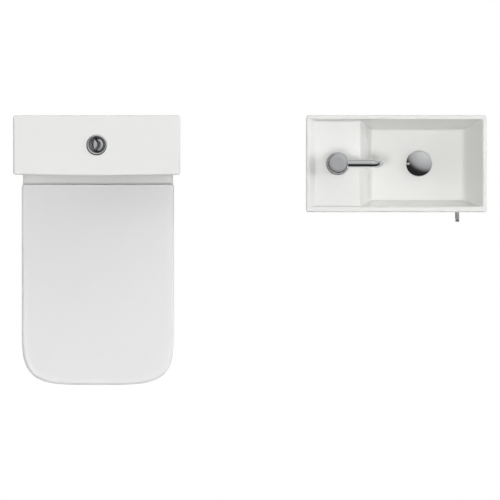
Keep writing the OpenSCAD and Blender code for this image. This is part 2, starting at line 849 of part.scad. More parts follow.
// Fill valve with its float
fill_washer_t = 3;
fill_flange_r = 17;
fill_flange_t = 4;
fill_nut_h = 8;
inlet_shoulder = 4;
fill_tower_r = 11;
fill_head_r = 17;
fill_head_h = 36;
fill_head_z = tank_top - 60;
water_bore_r = 4;
arm_z = fill_head_z - fill_head_h / 2;
arm_pin_r = 2;
arm_w = 8;
arm_t = 6;
ear_t = 3;
ear_r = 5;
ear_gap = 0.3;
arm_x = fill_head_r + ear_r + 1;
float_start = 9;
module at_fill() {
  at_wc() translate([-fill_off, -button_back, 0]) children();
}
module fill_valve_body() {
  color("white")
    at_fill() {
      difference() {
        union() {
          translate([0, 0, tank_in_z + fill_washer_t])
            cylinder(r = fill_flange_r, h = fill_flange_t);
          translate([0, 0, tank_z0 - inlet_l])
            cylinder(r = inlet_r, h = inlet_l);
          translate([0, 0, tank_z0 - fill_nut_h - inlet_shoulder])
            cylinder(r = inlet_r + inlet_step,
            h = fill_nut_h + inlet_shoulder + tank_floor + fill_washer_t + cut);
          translate([0, 0, tank_in_z + fill_washer_t])
            cylinder(r = fill_tower_r, h = fill_head_z - tank_in_z - fill_washer_t - cut);
          translate([0, 0, fill_head_z - fill_head_h]) cylinder(r = fill_head_r, h = fill_head_h);
          for (s = [-1, 1])
            translate([0, s * (arm_w / 2 + ear_gap + ear_t / 2) - ear_t / 2, arm_z]) {
              block(fill_head_r - 3, arm_x, 0, ear_t, -ear_r, ear_r);
              translate([arm_x, 0, 0]) rod_y(ear_r, ear_t);
            }
        }
        translate([0, 0, tank_z0 - inlet_l - cut])
          cylinder(r = water_bore_r, h = fill_head_z - tank_z0 + inlet_l - 10);
      }
      translate([arm_x, -arm_w / 2 - ear_gap - ear_t, arm_z])
        rod_y(arm_pin_r, arm_w + 2 * ear_gap + 2 * ear_t);
    }
}
// The rubber washers inside the tank, for both bolts and both valves
module cistern_washers() {
  color("dimgray") {
    tank_bolt_places()
      translate([0, 0, tank_in_z]) tube(bolt_washer_r, tank_bolt_r + thread_gap, bolt_washer_t);
    at_button()
      translate([0, 0, tank_in_z]) tube(valve_flange_r, valve_tail_r + 1, valve_washer_t);
    at_fill()
      translate([0, 0, tank_in_z]) tube(fill_flange_r, inlet_r + inlet_step + thread_gap, fill_washer_t);
  }
}
// The backnuts of both valves, below the tank
module valve_backnuts() {
  color("whitesmoke") {
    at_button()
      translate([0, 0, tank_z0 - valve_nut_h])
        hex_nut(valve_flange_r + 3, valve_tail_r + thread_gap, valve_nut_h);
    at_fill()
      translate([0, 0, tank_z0 - fill_nut_h])
        hex_nut(fill_flange_r + 1, inlet_r + inlet_step + thread_gap, fill_nut_h);
  }
}
module float_arm() {
  color("white")
    at_fill()
      translate([arm_x, 0, arm_z])
        difference() {
          union() {
            translate([0, -arm_w / 2, 0]) rod_y(ear_r - 1, arm_w);
            block(0, float_start + float_w - 4, -arm_w / 2, arm_w / 2, -arm_t / 2, arm_t / 2);
          }
          translate([0, -arm_w / 2 - cut, 0]) rod_y(arm_pin_r + pin_gap, arm_w + 2 * cut);
        }
}
module float() {
  color("royalblue")
    at_fill()
      rounded_block(arm_x + float_start, arm_x + float_start + float_w, -float_d / 2, float_d / 2,
        arm_z - arm_t / 2 - float_h, arm_z - arm_t / 2, 6);
}

// Seat hinges
post_foot_r = 13;
post_foot_t = 4;
post_col_r = 7;
barrel_l = 16;
lug_gap = 0.3;
lug_l = 12;
seat_bolt_l = 55;
seat_nut_t = 10;
module at_hinges() {
  at_wc()
    for (s = [0, 1])
      mirror([s, 0, 0]) translate([hinge_span / 2, hinge_y, 0]) children();
}
module seat_hinge_posts() {
  color("silver")
    at_hinges()
      difference() {
        union() {
          translate([0, 0, pan_h]) cylinder(r = post_foot_r, h = post_foot_t);
          translate([0, 0, pan_h]) cylinder(r = post_col_r, h = hinge_h);
          translate([-barrel_l / 2, 0, hinge_z]) rod_x(barrel_r, barrel_l);
          translate([0, 0, pan_h - seat_bolt_l]) cylinder(r = seat_bolt_r, h = seat_bolt_l + cut);
        }
        translate([-barrel_l, 0, hinge_z]) rod_x(seat_pin_r + thread_gap, 2 * barrel_l);
      }
}
module seat_hinge_pins() {
  color("silver")
    at_hinges()
      translate([-barrel_l / 2 - lug_gap - lug_l + 1, 0, hinge_z])
        rod_x(seat_pin_r, barrel_l + 2 * lug_gap + 2 * lug_l - 2);
}
module seat_hinge_nuts() {
  color("whitesmoke")
    at_hinges()
      translate([0, 0, pan_h - deck_t - seat_nut_t])
        hex_nut(post_foot_r, seat_bolt_r + thread_gap, seat_nut_t);
}

// Seat ring
ring_inset = 2;
ring_front = 3;
ring_rear = -2;
ring_z = pan_h + ring_rise;
ring_l = wc_d - ring_front + hinge_y + ring_rear;
notch_hw = 23;
notch_front = 15;
lug_reach = 5;
lug_low = barrel_r + barrel_r;
module seat_ring() {
  color("white")
    union() {
      at_wc()
        difference() {
          translate([0, hinge_y + ring_rear, ring_z])
            d_plate(seat_w / 2 - ring_inset, ring_l, nose_l, nose_n, rear_corner_r, ring_t);
          translate([0, bowl_y, ring_z - cut])
            linear_extrude(ring_t + 2 * cut)
              polygon(oval_points(ring_open_hw, ring_open_hl, opening_n));
          for (s = [-1, 1])
            block(s * hinge_span / 2 - notch_hw, s * hinge_span / 2 + notch_hw,
              hinge_y - notch_front,
              hinge_y + ring_rear + cut, ring_z - cut, ring_z + ring_t + cut);
        }
      at_hinges()
        difference() {
          translate([barrel_l / 2 + lug_gap, 0, hinge_z]) {
            rod_x(barrel_r, lug_l);
            block(0, lug_l, -notch_front - lug_reach, 0, -lug_low, -lid_rise);
          }
          translate([0, 0, hinge_z]) rod_x(seat_pin_r + pin_gap, barrel_l + lug_l);
        }
    }
}
buffer_w = 14;
buffer_l = 26;
module seat_buffers(z, t, x, backs) {
  color("gainsboro")
    at_wc()
      for (s = [-1, 1])
        for (back = backs)
          block(s * x - buffer_w / 2, s * x + buffer_w / 2, -back - buffer_l / 2,
            -back + buffer_l / 2, z, z + t);
}
buffer_x = (seat_w / 2 + ring_open_hw) / 2 + 3;
buffer_backs = [270, 470];
module seat_ring_buffers() {
  seat_buffers(pan_h, ring_rise, buffer_x, buffer_backs);
}

// Seat lid
cover_z = ring_z + ring_t + lid_rise;
cover_wall = 6;
cover_front_b = nose_l - cover_wall;
module seat_lid() {
  color("white")
    union() {
      at_wc()
        difference() {
          translate([0, -lid_d - deck_strip, cover_z])
            d_plate(seat_w / 2, seat_l, nose_l, nose_n, rear_corner_r, cover_t);
          translate([0, -lid_d - deck_strip - cover_wall, cover_z - cut])
            d_plate(seat_w / 2 - cover_wall, seat_l - 2 * cover_wall, cover_front_b, nose_n,
              rear_corner_r,
              cover_t - cover_skin + cut);
          for (s = [-1, 1])
            block(s * hinge_span / 2 - notch_hw, s * hinge_span / 2 + notch_hw,
              -lid_d - deck_strip - cover_wall - cut, -lid_d - deck_strip + cut,
              cover_z - cut, cover_z + cover_t - cover_skin);
        }
      at_hinges()
        difference() {
          translate([-barrel_l / 2 - lug_gap - lug_l, 0, hinge_z]) {
            rod_x(barrel_r, lug_l);
            block(0, lug_l, -barrel_r, barrel_r, 0, cover_t - cover_skin + cut);
          }
          translate([-barrel_l - lug_l, 0, hinge_z])
            rod_x(seat_pin_r + pin_gap, barrel_l + lug_l);
        }
    }
}
cover_buffer_w = 5;
cover_buffer_l = 24;
module seat_lid_buffers() {
  color("gainsboro")
    at_wc()
      for (s = [-1, 1])
        for (back = buffer_backs)
          translate([s * (seat_w / 2 - cover_wall / 2 - ring_inset / 2), -back,
            cover_z - lid_rise])
            block(-cover_buffer_w / 2, cover_buffer_w / 2, -cover_buffer_l / 2,
              cover_buffer_l / 2, 0, lid_rise);
}

// Basin
basin_z = cabinet_h;
basin_top = basin_z + basin_h;
bdeck_z = basin_top - deck_drop;
floor_z = basin_top - bowl_depth;
left = -basin_w / 2;
right = basin_w / 2;
basin_r = 6;
rim_r = 7;
floor_r = 20;
basin_mid_y = -basin_d / 2;
tap_x = left + tap_from_left;
waste_x = left + waste_from_left;
left_slope = 11;
rim_slope = 4;
tap_hole_r = 17.5;
waste_hole_r = waste_r + 1.6;
basin_seam = left + deck_w - basin_wall / 2;
// The four corners of a level, rounded rectangle, for the hulls below
module level_corners(x0, x1, y0, y1, z, r) {
  for (x = [x0 + r, x1 - r])
    for (y = [y0 + r, y1 - r])
      translate([x, y, z]) cylinder(r = r, h = slice, $fn = hull_fn);
}
// How far a bowl wall of the given run has come in at the tap deck's level
function run_at_deck(run) = run * deck_drop / bowl_depth;
module basin_hollows() {
  // Shallow tray that holds the tap deck
  hull() {
    level_corners(left + rim_w, left + deck_w + ramp_run, -basin_d + front_rim_w, -rim_w, basin_top,
      rim_r);
    level_corners(left + rim_w + left_slope, left + deck_w + ramp_run,
      -basin_d + front_rim_w + rim_slope,
      -rim_w - rim_slope, bdeck_z, rim_r);
  }
  // Upper part of the bowl, from the rim to the deck's level
  hull() {
    level_corners(left + deck_w, right - rim_w, -basin_d + front_rim_w, -rim_w, basin_top, rim_r);
    level_corners(left + deck_w, right - rim_w - run_at_deck(right_run),
      -basin_d + front_rim_w + run_at_deck(front_run), -rim_w - run_at_deck(back_run), bdeck_z,
        rim_r);
  }
  // Lower part of the bowl, from the deck's level to its floor
  hull() {
    level_corners(left + deck_w, right - rim_w - run_at_deck(right_run),
      -basin_d + front_rim_w + run_at_deck(front_run), -rim_w - run_at_deck(back_run), bdeck_z,
        rim_r);
    level_corners(left + deck_w + ramp_run, right - rim_w - right_run,
      -basin_d + front_rim_w + front_run, -rim_w - back_run, floor_z, floor_r);
  }
}
module basin_casting() {
  difference() {
    rounded_block(left, right, -basin_d, 0, basin_z, basin_top, basin_r);
    basin_hollows();
    block(left + basin_wall, left + deck_w - basin_wall - 2, -basin_d + basin_wall, -basin_wall,
      basin_z - cut, bdeck_z - basin_wall);
    translate([tap_x, basin_mid_y, basin_z]) cylinder(r = tap_hole_r, h = basin_h);
    translate([waste_x, basin_mid_y, basin_z - cut]) cylinder(r = waste_hole_r, h = basin_h);
  }
}
// The bowl end of the casting
module basin() {
  color("white")
    at_vanity()
      intersection() {
        basin_casting();
        block(basin_seam, right + cut, -basin_d - cut, cut, basin_z - cut, basin_top + cut);
      }
}
// The tap end of the same casting
module basin_deck() {
  color("white")
    at_vanity()
      intersection() {
        basin_casting();
        block(left - cut, basin_seam, -basin_d - cut, cut, basin_z - cut, basin_top + cut);
      }
}
panel_back = 2;
rail_front_y = -panel_back - panel_t;

// Tap
tap_seal_t = 1.5;
tap_z = bdeck_z + tap_seal_t;
tap_top = bdeck_z + tap_h;
tap_foot_t = 4;
cart_r = 17;
cart_z = spout_z + bend_r - 6;
spout_axis_z = bdeck_z + spout_z;
spout_wall = 2;
spout_in = 12;
spindle_r = 5;
knob_gap = 0.5;
tail_r = 5;
tail_off = 9;
tail_depth = 14;
stud_r = 3;
stud_off = 11;
module at_tap() {
  at_vanity() translate([tap_x, basin_mid_y, 0]) children();
}
module tap_body() {
  color("silver")
    at_tap()
      difference() {
        union() {
          translate([0, 0, tap_z]) cylinder(r = tap_foot_r, h = tap_foot_t);
          translate([0, 0, tap_z]) cylinder(r = tap_r, h = tap_top - tap_z);
        }
        translate([0, 0, bdeck_z + cart_z]) cylinder(r = cart_r + thread_gap, h = tap_h);
        translate([spout_in, 0, spout_axis_z]) rod_x(spout_r + thread_gap, tap_r);
        translate([spout_in + spout_r / 2, 0, spout_axis_z])
          cylinder(r = spindle_r - 1, h = cart_z - spout_z + cut);
        for (s = [-1, 1])
          translate([0, s * tail_off, tap_z - cut]) cylinder(r = tail_r, h = tail_depth + cut);
        for (s = [-1, 1])
          translate([0, s * tail_off, tap_z]) cylinder(r = tail_r / 2, h = cart_z);
        translate([-stud_off, 0, tap_z - cut])
          cylinder(r = stud_r + thread_gap, h = tail_depth + cut);
      }
}
module tap_spout() {
  color("silver")
    at_tap()
      translate([spout_in, 0, spout_axis_z])
        difference() {
          spout_solid(spout_r, 0);
          spout_solid(spout_r - spout_wall, cut);
        }
}
// The spout's three lengths, drawn from its socket; extra lengthens both open ends
module spout_solid(r, extra) {
  translate([-extra, 0, 0]) rod_x(r, spout_reach - bend_r - spout_in + extra);
  translate([spout_reach - bend_r - spout_in, 0, -bend_r])
    rotate([90, 0, 0]) rotate_extrude(angle = 90) translate([bend_r, 0]) circle(r = r);
  translate([spout_reach - spout_in, 0, -bend_r - nozzle_l - extra])
    cylinder(r = r, h = nozzle_l + extra);
}
module tap_aerator() {
  color("gray")
    at_tap()
      translate([spout_reach, 0, spout_axis_z - bend_r - nozzle_l - aerator_h])
        tube(spout_r, spout_r - 3, aerator_h);
}
module tap_cartridge() {
  color("goldenrod")
    at_tap()
      translate([0, 0, bdeck_z + cart_z]) tube(cart_r, spindle_r + pin_gap, tap_h - cart_z);
}
knob_z = tap_top + knob_gap;
spindle_top = knob_h * 0.6;
module tap_spindle() {
  color("goldenrod")
    at_tap()
      translate([0, 0, bdeck_z + cart_z + knob_gap])
        cylinder(r = spindle_r, h = tap_h - cart_z + spindle_top);
}
module tap_knob() {
  color("silver")
    at_tap()
      difference() {
        union() {
          translate([0, 0, knob_z]) cylinder(r = tap_r, h = knob_h - knob_bevel - knob_gap);
          translate([0, 0, knob_z + knob_h - knob_bevel - knob_gap])
            cylinder(r1 = tap_r, r2 = tap_r - knob_bevel, h = knob_bevel);
        }
        translate([0, 0, knob_z - cut]) cylinder(r = spindle_r + thread_gap, h = spindle_top + cut);
      }
}
// Rubber and steel clamp plates under the tap deck, and the stud with its nut
clamp_rubber_t = 3;
clamp_t = 2;
clamp_r = 24;
clamp_z = bdeck_z - basin_wall - clamp_rubber_t - clamp_t;
stud_nut_h = 8;
stud_tail = 10;
module tap_clamp() {
  color("dimgray")
    at_tap()
      difference() {
        translate([0, 0, clamp_z]) cylinder(r = clamp_r, h = clamp_rubber_t + clamp_t);
        translate([0, 0, clamp_z - cut])
          block(-tap_hole_r / 2, 2 * clamp_r, -tap_hole_r + 2, tap_hole_r - 2, 0,
            clamp_rubber_t + clamp_t + 2 * cut);
        translate([-stud_off, 0, clamp_z - cut])
          cylinder(r = stud_r + thread_gap, h = clamp_rubber_t + clamp_t + 2 * cut);
      }
}
module tap_stud_and_nut() {
  color("goldenrod")
    at_tap()
      translate([-stud_off, 0, 0]) {
        translate([0, 0, clamp_z - stud_nut_h - stud_tail])
          cylinder(r = stud_r, h = tap_z + tail_depth - clamp_z + stud_nut_h + stud_tail - cut);
        translate([0, 0, clamp_z - stud_nut_h])
          hex_nut(stud_r + 3.5, stud_r + thread_gap, stud_nut_h);
      }
}

// Waste
waste_flange_t = 2.5;
waste_wall = 3;
waste_low = basin_z - waste_l;
waste_seal_t = 3;
waste_nut_h = 10;
guide_h = 30;
guide_z = floor_z - guide_h - 4;
stem_r = 4;
plug_gap = 0.5;
plug_edge = 1.5;
plug_z = floor_z + waste_flange_t + plug_gap + plug_travel;
plug_sphere_r = (plug_r * plug_r + plug_dome * plug_dome) / (2 * plug_dome);
stem_l = plug_z - guide_z - plug_travel;
module at_waste() {
  at_vanity() translate([waste_x, basin_mid_y, 0]) children();
}
module waste_body() {
  color("silver")
    at_waste()
      difference() {
        union() {
          translate([0, 0, floor_z]) cylinder(r = plug_r - 1.5, h = waste_flange_t);
          translate([0, 0, waste_low]) cylinder(r = waste_r, h = floor_z - waste_low + cut);
        }
        translate([0, 0, waste_low - cut])
          cylinder(r = waste_r - waste_wall, h = floor_z + waste_flange_t - waste_low + 2 * cut);
      }
}
// A hub on three ribs inside the tube, which guides the plug's stem
rib_w = 3;
rib_play = 0.15;
module waste_guide() {
  color("gainsboro")
    at_waste()
      translate([0, 0, guide_z])
        difference() {
          union() {
            cylinder(r = stem_r + 3, h = guide_h);
            for (a = [0:120:240])
              rotate([0, 0, a])
                block(0, waste_r - waste_wall - rib_play, -rib_w / 2, rib_w / 2, 0, guide_h);
          }
          translate([0, 0, -cut]) cylinder(r = stem_r + pin_gap, h = guide_h + 2 * cut);
        }
}
module waste_plug() {
  color("silver")
    at_waste() {
      intersection() {
        translate([0, 0, plug_z + plug_dome - plug_sphere_r + plug_edge]) sphere(r = plug_sphere_r);
        translate([0, 0, plug_z]) cylinder(r = plug_r, h = plug_dome + 2 * plug_edge);
      }
      translate([0, 0, plug_z - stem_l]) cylinder(r = stem_r, h = stem_l + cut);
    }
}
// The seal between the basin and the tap's foot, and the one above the waste's backnut
module basin_seals() {
  color("dimgray") {
    at_tap()
      translate([0, 0, bdeck_z]) tube(tap_foot_r - 1.5, tap_hole_r, tap_seal_t);
    at_waste()
      translate([0, 0, basin_z - waste_seal_t]) tube(waste_r + 9, waste_r + thread_gap, waste_seal_t);
  }
}
module waste_backnut() {
  color("silver")
    at_waste()
      translate([0, 0, basin_z - waste_seal_t - waste_nut_h])
        hex_nut(waste_r + 11, waste_r + thread_gap, waste_nut_h);
}

// Bottle trap
trap_collar_t = 4;
trap_neck_r = 18;
trap_neck_l = 24;
trap_wall = 3;
nut_wall = 5;
nut_over = 14;
bottle_top = waste_low - trap_collar_t - trap_neck_l;
bottle_low = bottle_top - bottle_h;
trap_out_z = bottle_top - 26;
boss_r = 20;
boss_end = -basin_d / 2 + bottle_r + 20;
trap_pipe_end = -12;
pipe_step = 0.5;
pipe_gap = 0.05;
dip_l = bottle_h - 24;
cup_h = 40;
cup_over = 20;
cup_t = 4;
module trap_bottle() {
  color("gainsboro")
    at_waste()
      difference() {
        union() {
          translate([0, 0, bottle_low]) cylinder(r = bottle_r, h = bottle_h);
          translate([0, 0, bottle_top - cut]) cylinder(r = trap_neck_r, h = trap_neck_l + cut);
          translate([0, 0, waste_low - trap_collar_t]) cylinder(r = waste_r, h = trap_collar_t);
          translate([0, 0, trap_out_z]) rod_y(boss_r, boss_end - basin_mid_y);
        }
        difference() {
          translate([0, 0, bottle_low - cut])
            cylinder(r = bottle_r - trap_wall, h = bottle_h - trap_wall + cut);
          translate([0, 0, bottle_top - dip_l]) cylinder(r = trap_neck_r, h = dip_l);
        }
        translate([0, 0, bottle_top - dip_l - cut])
          cylinder(r = trap_neck_r - trap_wall,
            h = dip_l + trap_neck_l + trap_collar_t + 2 * cut);
        translate([0, trap_neck_r + 2, trap_out_z]) rod_y(trap_pipe_r + thread_gap, -basin_mid_y);
      }
}
module trap_cup() {
  color("gainsboro")
    at_waste()
      translate([0, 0, bottle_low + cup_over - cup_h])
        difference() {
          cylinder(r = bottle_r + cup_t, h = cup_h);
          translate([0, 0, cup_h - cup_over])
            cylinder(r = bottle_r + thread_gap, h = cup_over + cut);
          translate([0, 0, cup_t]) cylinder(r = bottle_r - trap_wall, h = cup_h);
        }
}
module trap_nuts() {
  color("white")
    at_waste() {
      // The nut at the top grips the waste's thread and the bottle's collar
      difference() {
        translate([0, 0, waste_low - trap_collar_t - nut_wall])
          cylinder(r = waste_r + nut_wall, h = nut_over + trap_collar_t + nut_wall);
        translate([0, 0, waste_low - trap_collar_t])
          cylinder(r = waste_r + thread_gap, h = nut_over + trap_collar_t + cut);
        translate([0, 0, waste_low - trap_collar_t - nut_wall - cut])
          cylinder(r = trap_neck_r + thread_gap, h = nut_wall + 2 * cut);
      }
      // The nut at the back grips the outlet boss and the pipe
      difference() {
        translate([0, boss_end - basin_mid_y - nut_over, trap_out_z])
          rod_y(boss_r + nut_wall, nut_over + nut_wall);
        translate([0, boss_end - basin_mid_y - nut_over - cut, trap_out_z])
          rod_y(boss_r + thread_gap, nut_over + cut);
        translate([0, boss_end - basin_mid_y - cut, trap_out_z])
          rod_y(trap_pipe_r - pipe_step + thread_gap, nut_wall + 2 * cut);
      }
    }
}
module trap_outlet_pipe() {
  color("gainsboro")
    at_waste()
      translate([0, bottle_r - trap_wall, trap_out_z])
        difference() {
          union() {
            rod_y(trap_pipe_r - pipe_step, trap_pipe_end - basin_mid_y - bottle_r + trap_wall);
            translate([0, boss_end - basin_mid_y - bottle_r + trap_wall + nut_wall + pipe_gap, 0])
              rod_y(trap_pipe_r, trap_pipe_end - boss_end - nut_wall - pipe_gap);
          }
          translate([0, -cut, 0])
            rod_y(trap_pipe_r - 2,
            trap_pipe_end - basin_mid_y - bottle_r + trap_wall + 2 * cut);
        }
}

// Cabinet
cab_l = left + side_inset;
cab_r = right - side_inset;
door_front = -basin_d + door_inset;
door_back = door_front + door_t;
door_gap = 1;
carcass_front = door_back + door_gap;
door_low = plinth_h + 4;
door_high = cabinet_h - 6;
shelf_gap = 1.5;
shelf_pin_r = 2.5;
shelf_pin_l = 8;
shelf_pin_back = 30;
shelf_pin_front = 40;
shelf_pins_y = [rail_front_y - shelf_pin_back, carcass_front + shelf_pin_front];
wall_screw_r = 2.5;
wall_screw_span = 300;
hinge_out = 0.3;
hinge_axis_x = cab_l - knuckle_r - hinge_out;
hinge_axis_y = door_back + door_gap / 2;
hinge_lows = [door_low + hinge_margin, door_high - hinge_margin - leaf_h];
leaf_reach = 13;
module cabinet_sides() {
  color("white")
    at_vanity()
      difference() {
        union() {
          block(cab_l, cab_l + panel_t, carcass_front, -panel_back, glide_h, cabinet_h);
          block(cab_r - panel_t, cab_r, carcass_front, -panel_back, glide_h, cabinet_h);
        }
        for (z = hinge_lows)
          block(cab_l - cut, cab_l + leaf_reach, carcass_front - cut, carcass_front + leaf_t,
            z, z + leaf_h);
        for (x = [cab_l + panel_t - shelf_pin_l, cab_r - panel_t - cut])
          for (y = shelf_pins_y)
            translate([x, y, shelf_z - shelf_pin_r])
              rod_x(shelf_pin_r + thread_gap, shelf_pin_l + cut);
      }
}
module cabinet_panels() {
  x0 = cab_l + panel_t;
  x1 = cab_r - panel_t;
  color("white")
    at_vanity() {
      // Floor panel
      block(x0, x1, carcass_front, -panel_back, plinth_h, plinth_h + panel_t);
      // Plinth board
      block(x0, x1, carcass_front + plinth_setback - panel_t, carcass_front + plinth_setback,
        glide_h, plinth_h);
      // Front top rail
      block(x0, x1, carcass_front, carcass_front + panel_t, cabinet_h - rail_h / 2, cabinet_h);
      // Rear bottom rail
      block(x0, x1, rail_front_y, -panel_back, plinth_h + panel_t, plinth_h + panel_t + rail_h);
      // Rear top rail with its two wall screw holes
      difference() {
        block(x0, x1, rail_front_y, -panel_back, cabinet_h - rail_h, cabinet_h);
        for (s = [-1, 1])
          translate([s * wall_screw_span / 2, rail_front_y - cut, cabinet_h - rail_h / 2])
            rod_y(wall_screw_r, panel_t + 2 * cut);
      }
    }
}
module cabinet_shelf() {
  color("white")
    at_vanity()
      block(cab_l + panel_t + shelf_gap, cab_r - panel_t - shelf_gap, carcass_front + 10,
        rail_front_y,
        shelf_z, shelf_z + panel_t);
}
// Steel pins that carry the shelf
module shelf_pins() {
  color("silver")
    at_vanity()
      for (x = [cab_l + panel_t - shelf_pin_l + cut, cab_r - panel_t - shelf_pin_l + cut])
        for (y = shelf_pins_y)
          translate([x, y, shelf_z - shelf_pin_r]) rod_x(shelf_pin_r, 2 * shelf_pin_l - 2 * cut);
}
module cabinet_glides() {
  color("gainsboro")
    at_vanity()
      for (x = [cab_l + panel_t / 2, cab_r - panel_t / 2])
        for (y = [-panel_back - 2 * panel_t, carcass_front + 2 * panel_t])
          translate([x, y, 0]) cylinder(r = panel_t / 2 - 1, h = glide_h);
}

// Door, handle and hinges
handle_x = right - handle_from_right;
handle_top = cabinet_h - handle_drop;
handle_low = handle_top - handle_l;
handle_screw_r = 2;
handle_screws_z = [handle_low + handle_t / 2, handle_top - handle_t / 2];
handle_head_r = 4.5;
handle_head_t = 2.5;
handle_thread = 14;
module door() {
  color("white")
    at_vanity()
      difference() {
        block(cab_l, cab_r, door_front, door_back, door_low, door_high);
        for (z = hinge_lows)
          block(cab_l - cut, cab_l + 2 * leaf_reach, door_back - leaf_t, door_back + cut, z,
            z + leaf_h);
        for (z = handle_screws_z)
          translate([handle_x, door_front - cut, z])
            rod_y(handle_screw_r + thread_gap, door_t + 2 * cut);
      }
}
// A bent bar handle
module door_handle() {
  color("silver")
    at_vanity()
      difference() {
        block(handle_x - handle_t / 2, handle_x + handle_t / 2, door_front - handle_out, door_front,
          handle_low, handle_top);
        block(handle_x - handle_t, handle_x + handle_t, door_front - handle_out + handle_t,
          door_front + cut,
          handle_low + handle_t, handle_top - handle_t);
        for (z = handle_screws_z)
          translate([handle_x, door_front - handle_thread, z])
            rod_y(handle_screw_r + thread_gap, handle_thread + cut);
      }
}
// The screws that hold the handle from behind the door
module handle_screws() {
  color("silver")
    at_vanity()
      for (z = handle_screws_z)
        translate([handle_x, 0, z]) {
          translate([0, door_front - handle_thread + cut, 0])
            rod_y(handle_screw_r, door_t + handle_thread);
          translate([0, door_back, 0]) rod_y(handle_head_r, handle_head_t);
        }
}
knuckle_gap = 0.3;
third = leaf_h / 3;
// One hinge has a middle knuckle on the door's leaf and two outer knuckles on the frame's leaf
module knuckle(z0, z1) {
  translate([0, 0, z0]) cylinder(r = knuckle_r, h = z1 - z0);
}
module hinge_leaf(y0, y1, reach, spans) {
  difference() {
    union() {
      block(-hinge_axis_x + cab_l, -hinge_axis_x + cab_l + reach, y0, y1, 0, leaf_h);
      for (s = spans) {
        knuckle(s[0], s[1]);
        block(0, -hinge_axis_x + cab_l + cut, y0, y1, s[0], s[1]);
      }
    }
    translate([0, 0, -cut]) cylinder(r = door_pin_r + pin_gap, h = leaf_h + 2 * cut);
  }
}
module at_door_hinges() {
  at_vanity()
    for (z = hinge_lows)
      translate([hinge_axis_x, hinge_axis_y, z]) children();
}
module door_hinges() {
  color("silver")
    at_door_hinges() {
      hinge_leaf(door_gap / 2, door_gap / 2 + leaf_t, leaf_reach, [[0, third - knuckle_gap],
        [2 * third + knuckle_gap, leaf_h]]);
      cylinder(r = door_pin_r, h = leaf_h);
    }
}
module door_hinge_leaves() {
  color("silver")
    at_door_hinges()
      hinge_leaf(-door_gap / 2 - leaf_t, -door_gap / 2, 2 * leaf_reach, [[third, 2 * third]]);
}

pan();
pan_waterways();
pan_brackets();
pan_screws();
pan_screw_caps();
cistern();
cistern_lid();
cistern_bolts();
cistern_washers();
cistern_wing_nuts();
coupling_gasket();
flush_bezel();
bezel_nut();
half_flush_button();
full_flush_button();
half_push_rod();
full_push_rod();
flush_valve_body();
flush_piston();
flush_seal();
fill_valve_body();
float_arm();
float();
valve_backnuts();
seat_hinge_posts();
seat_hinge_pins();
seat_hinge_nuts();
seat_ring();
seat_ring_buffers();
seat_lid();
seat_lid_buffers();
basin();
basin_deck();
tap_body();
tap_spout();
tap_aerator();
tap_cartridge();
tap_spindle();
tap_knob();
tap_clamp();
tap_stud_and_nut();
waste_body();
waste_guide();
waste_plug();
basin_seals();
waste_backnut();
trap_bottle();
trap_cup();
trap_nuts();
trap_outlet_pipe();
cabinet_sides();
cabinet_panels();
cabinet_shelf();
shelf_pins();
cabinet_glides();
door();
door_handle();
handle_screws();
door_hinges();
door_hinge_leaves();
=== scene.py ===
"""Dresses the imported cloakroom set: a close-coupled toilet and, apart from it, a small basin on a cabinet."""

import bmesh
import bpy
import numpy as np
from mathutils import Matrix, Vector


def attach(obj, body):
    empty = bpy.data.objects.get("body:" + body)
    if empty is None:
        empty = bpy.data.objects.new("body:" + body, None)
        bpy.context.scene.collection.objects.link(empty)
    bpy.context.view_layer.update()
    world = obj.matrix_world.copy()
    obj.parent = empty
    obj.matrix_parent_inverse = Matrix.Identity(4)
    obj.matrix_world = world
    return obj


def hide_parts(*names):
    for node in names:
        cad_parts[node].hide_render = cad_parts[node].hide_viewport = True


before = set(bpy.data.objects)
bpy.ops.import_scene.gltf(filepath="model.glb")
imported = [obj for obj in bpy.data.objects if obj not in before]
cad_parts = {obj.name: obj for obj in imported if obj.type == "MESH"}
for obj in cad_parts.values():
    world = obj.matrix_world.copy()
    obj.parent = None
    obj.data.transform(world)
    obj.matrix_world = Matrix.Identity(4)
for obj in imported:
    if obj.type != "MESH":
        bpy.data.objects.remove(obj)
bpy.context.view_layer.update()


# Camera
# The photograph looks straight down from so far away that heights hardly shift anything in it. One of its
# pixels is 2.25 mm on the set, and up in the picture is towards the wall.
MM = 0.001
pixel, picture_width = 2.25 * MM, 500
focal_length, sensor_width = 1500.0, 36.0
middle_x, middle_y, level_in_scale = 0.15 * pixel, 0.6 * pixel, 0.8
distance = picture_width * pixel * focal_length / sensor_width
camera = bpy.data.objects.new("camera", bpy.data.cameras.new("camera"))
bpy.context.scene.collection.objects.link(camera)
camera.data.lens = focal_length
camera.data.sensor_width = sensor_width
camera.data.clip_start = 1.0
camera.data.clip_end = 100.0
camera.location = (middle_x, middle_y, level_in_scale + distance)
bpy.context.scene.camera = camera
bpy.context.scene.view_settings.view_transform = "Standard"


# Floor and light
# A white studio: a soft light overhead, two from the right, weaker ones from the front and the left, and a
# room that is brightest at the right rear. The floor throws light back, and grey bands show in the chrome.
def material_of(name):
    """A new material and its Principled shader."""
    material = bpy.data.materials.new(name)
    material.use_nodes = True
    return material, material.node_tree.nodes["Principled BSDF"]


floor_half, floor_grey = 30.0, 0.80
floor_mesh = bpy.data.meshes.new("studio_floor")
square = np.array([(-1, -1, 0), (1, -1, 0), (1, 1, 0), (-1, 1, 0)]) * floor_half
floor_mesh.from_pydata(square.tolist(), [], [(0, 1, 2, 3)])
floor = bpy.data.objects.new("studio_floor", floor_mesh)
bpy.context.scene.collection.objects.link(floor)
floor_white, shader = material_of("studio_floor")
nodes, links = floor_white.node_tree.nodes, floor_white.node_tree.links
shader.inputs["Base Color"].default_value = (floor_grey, floor_grey, floor_grey, 1)
shader.inputs["Roughness"].default_value = 0.9
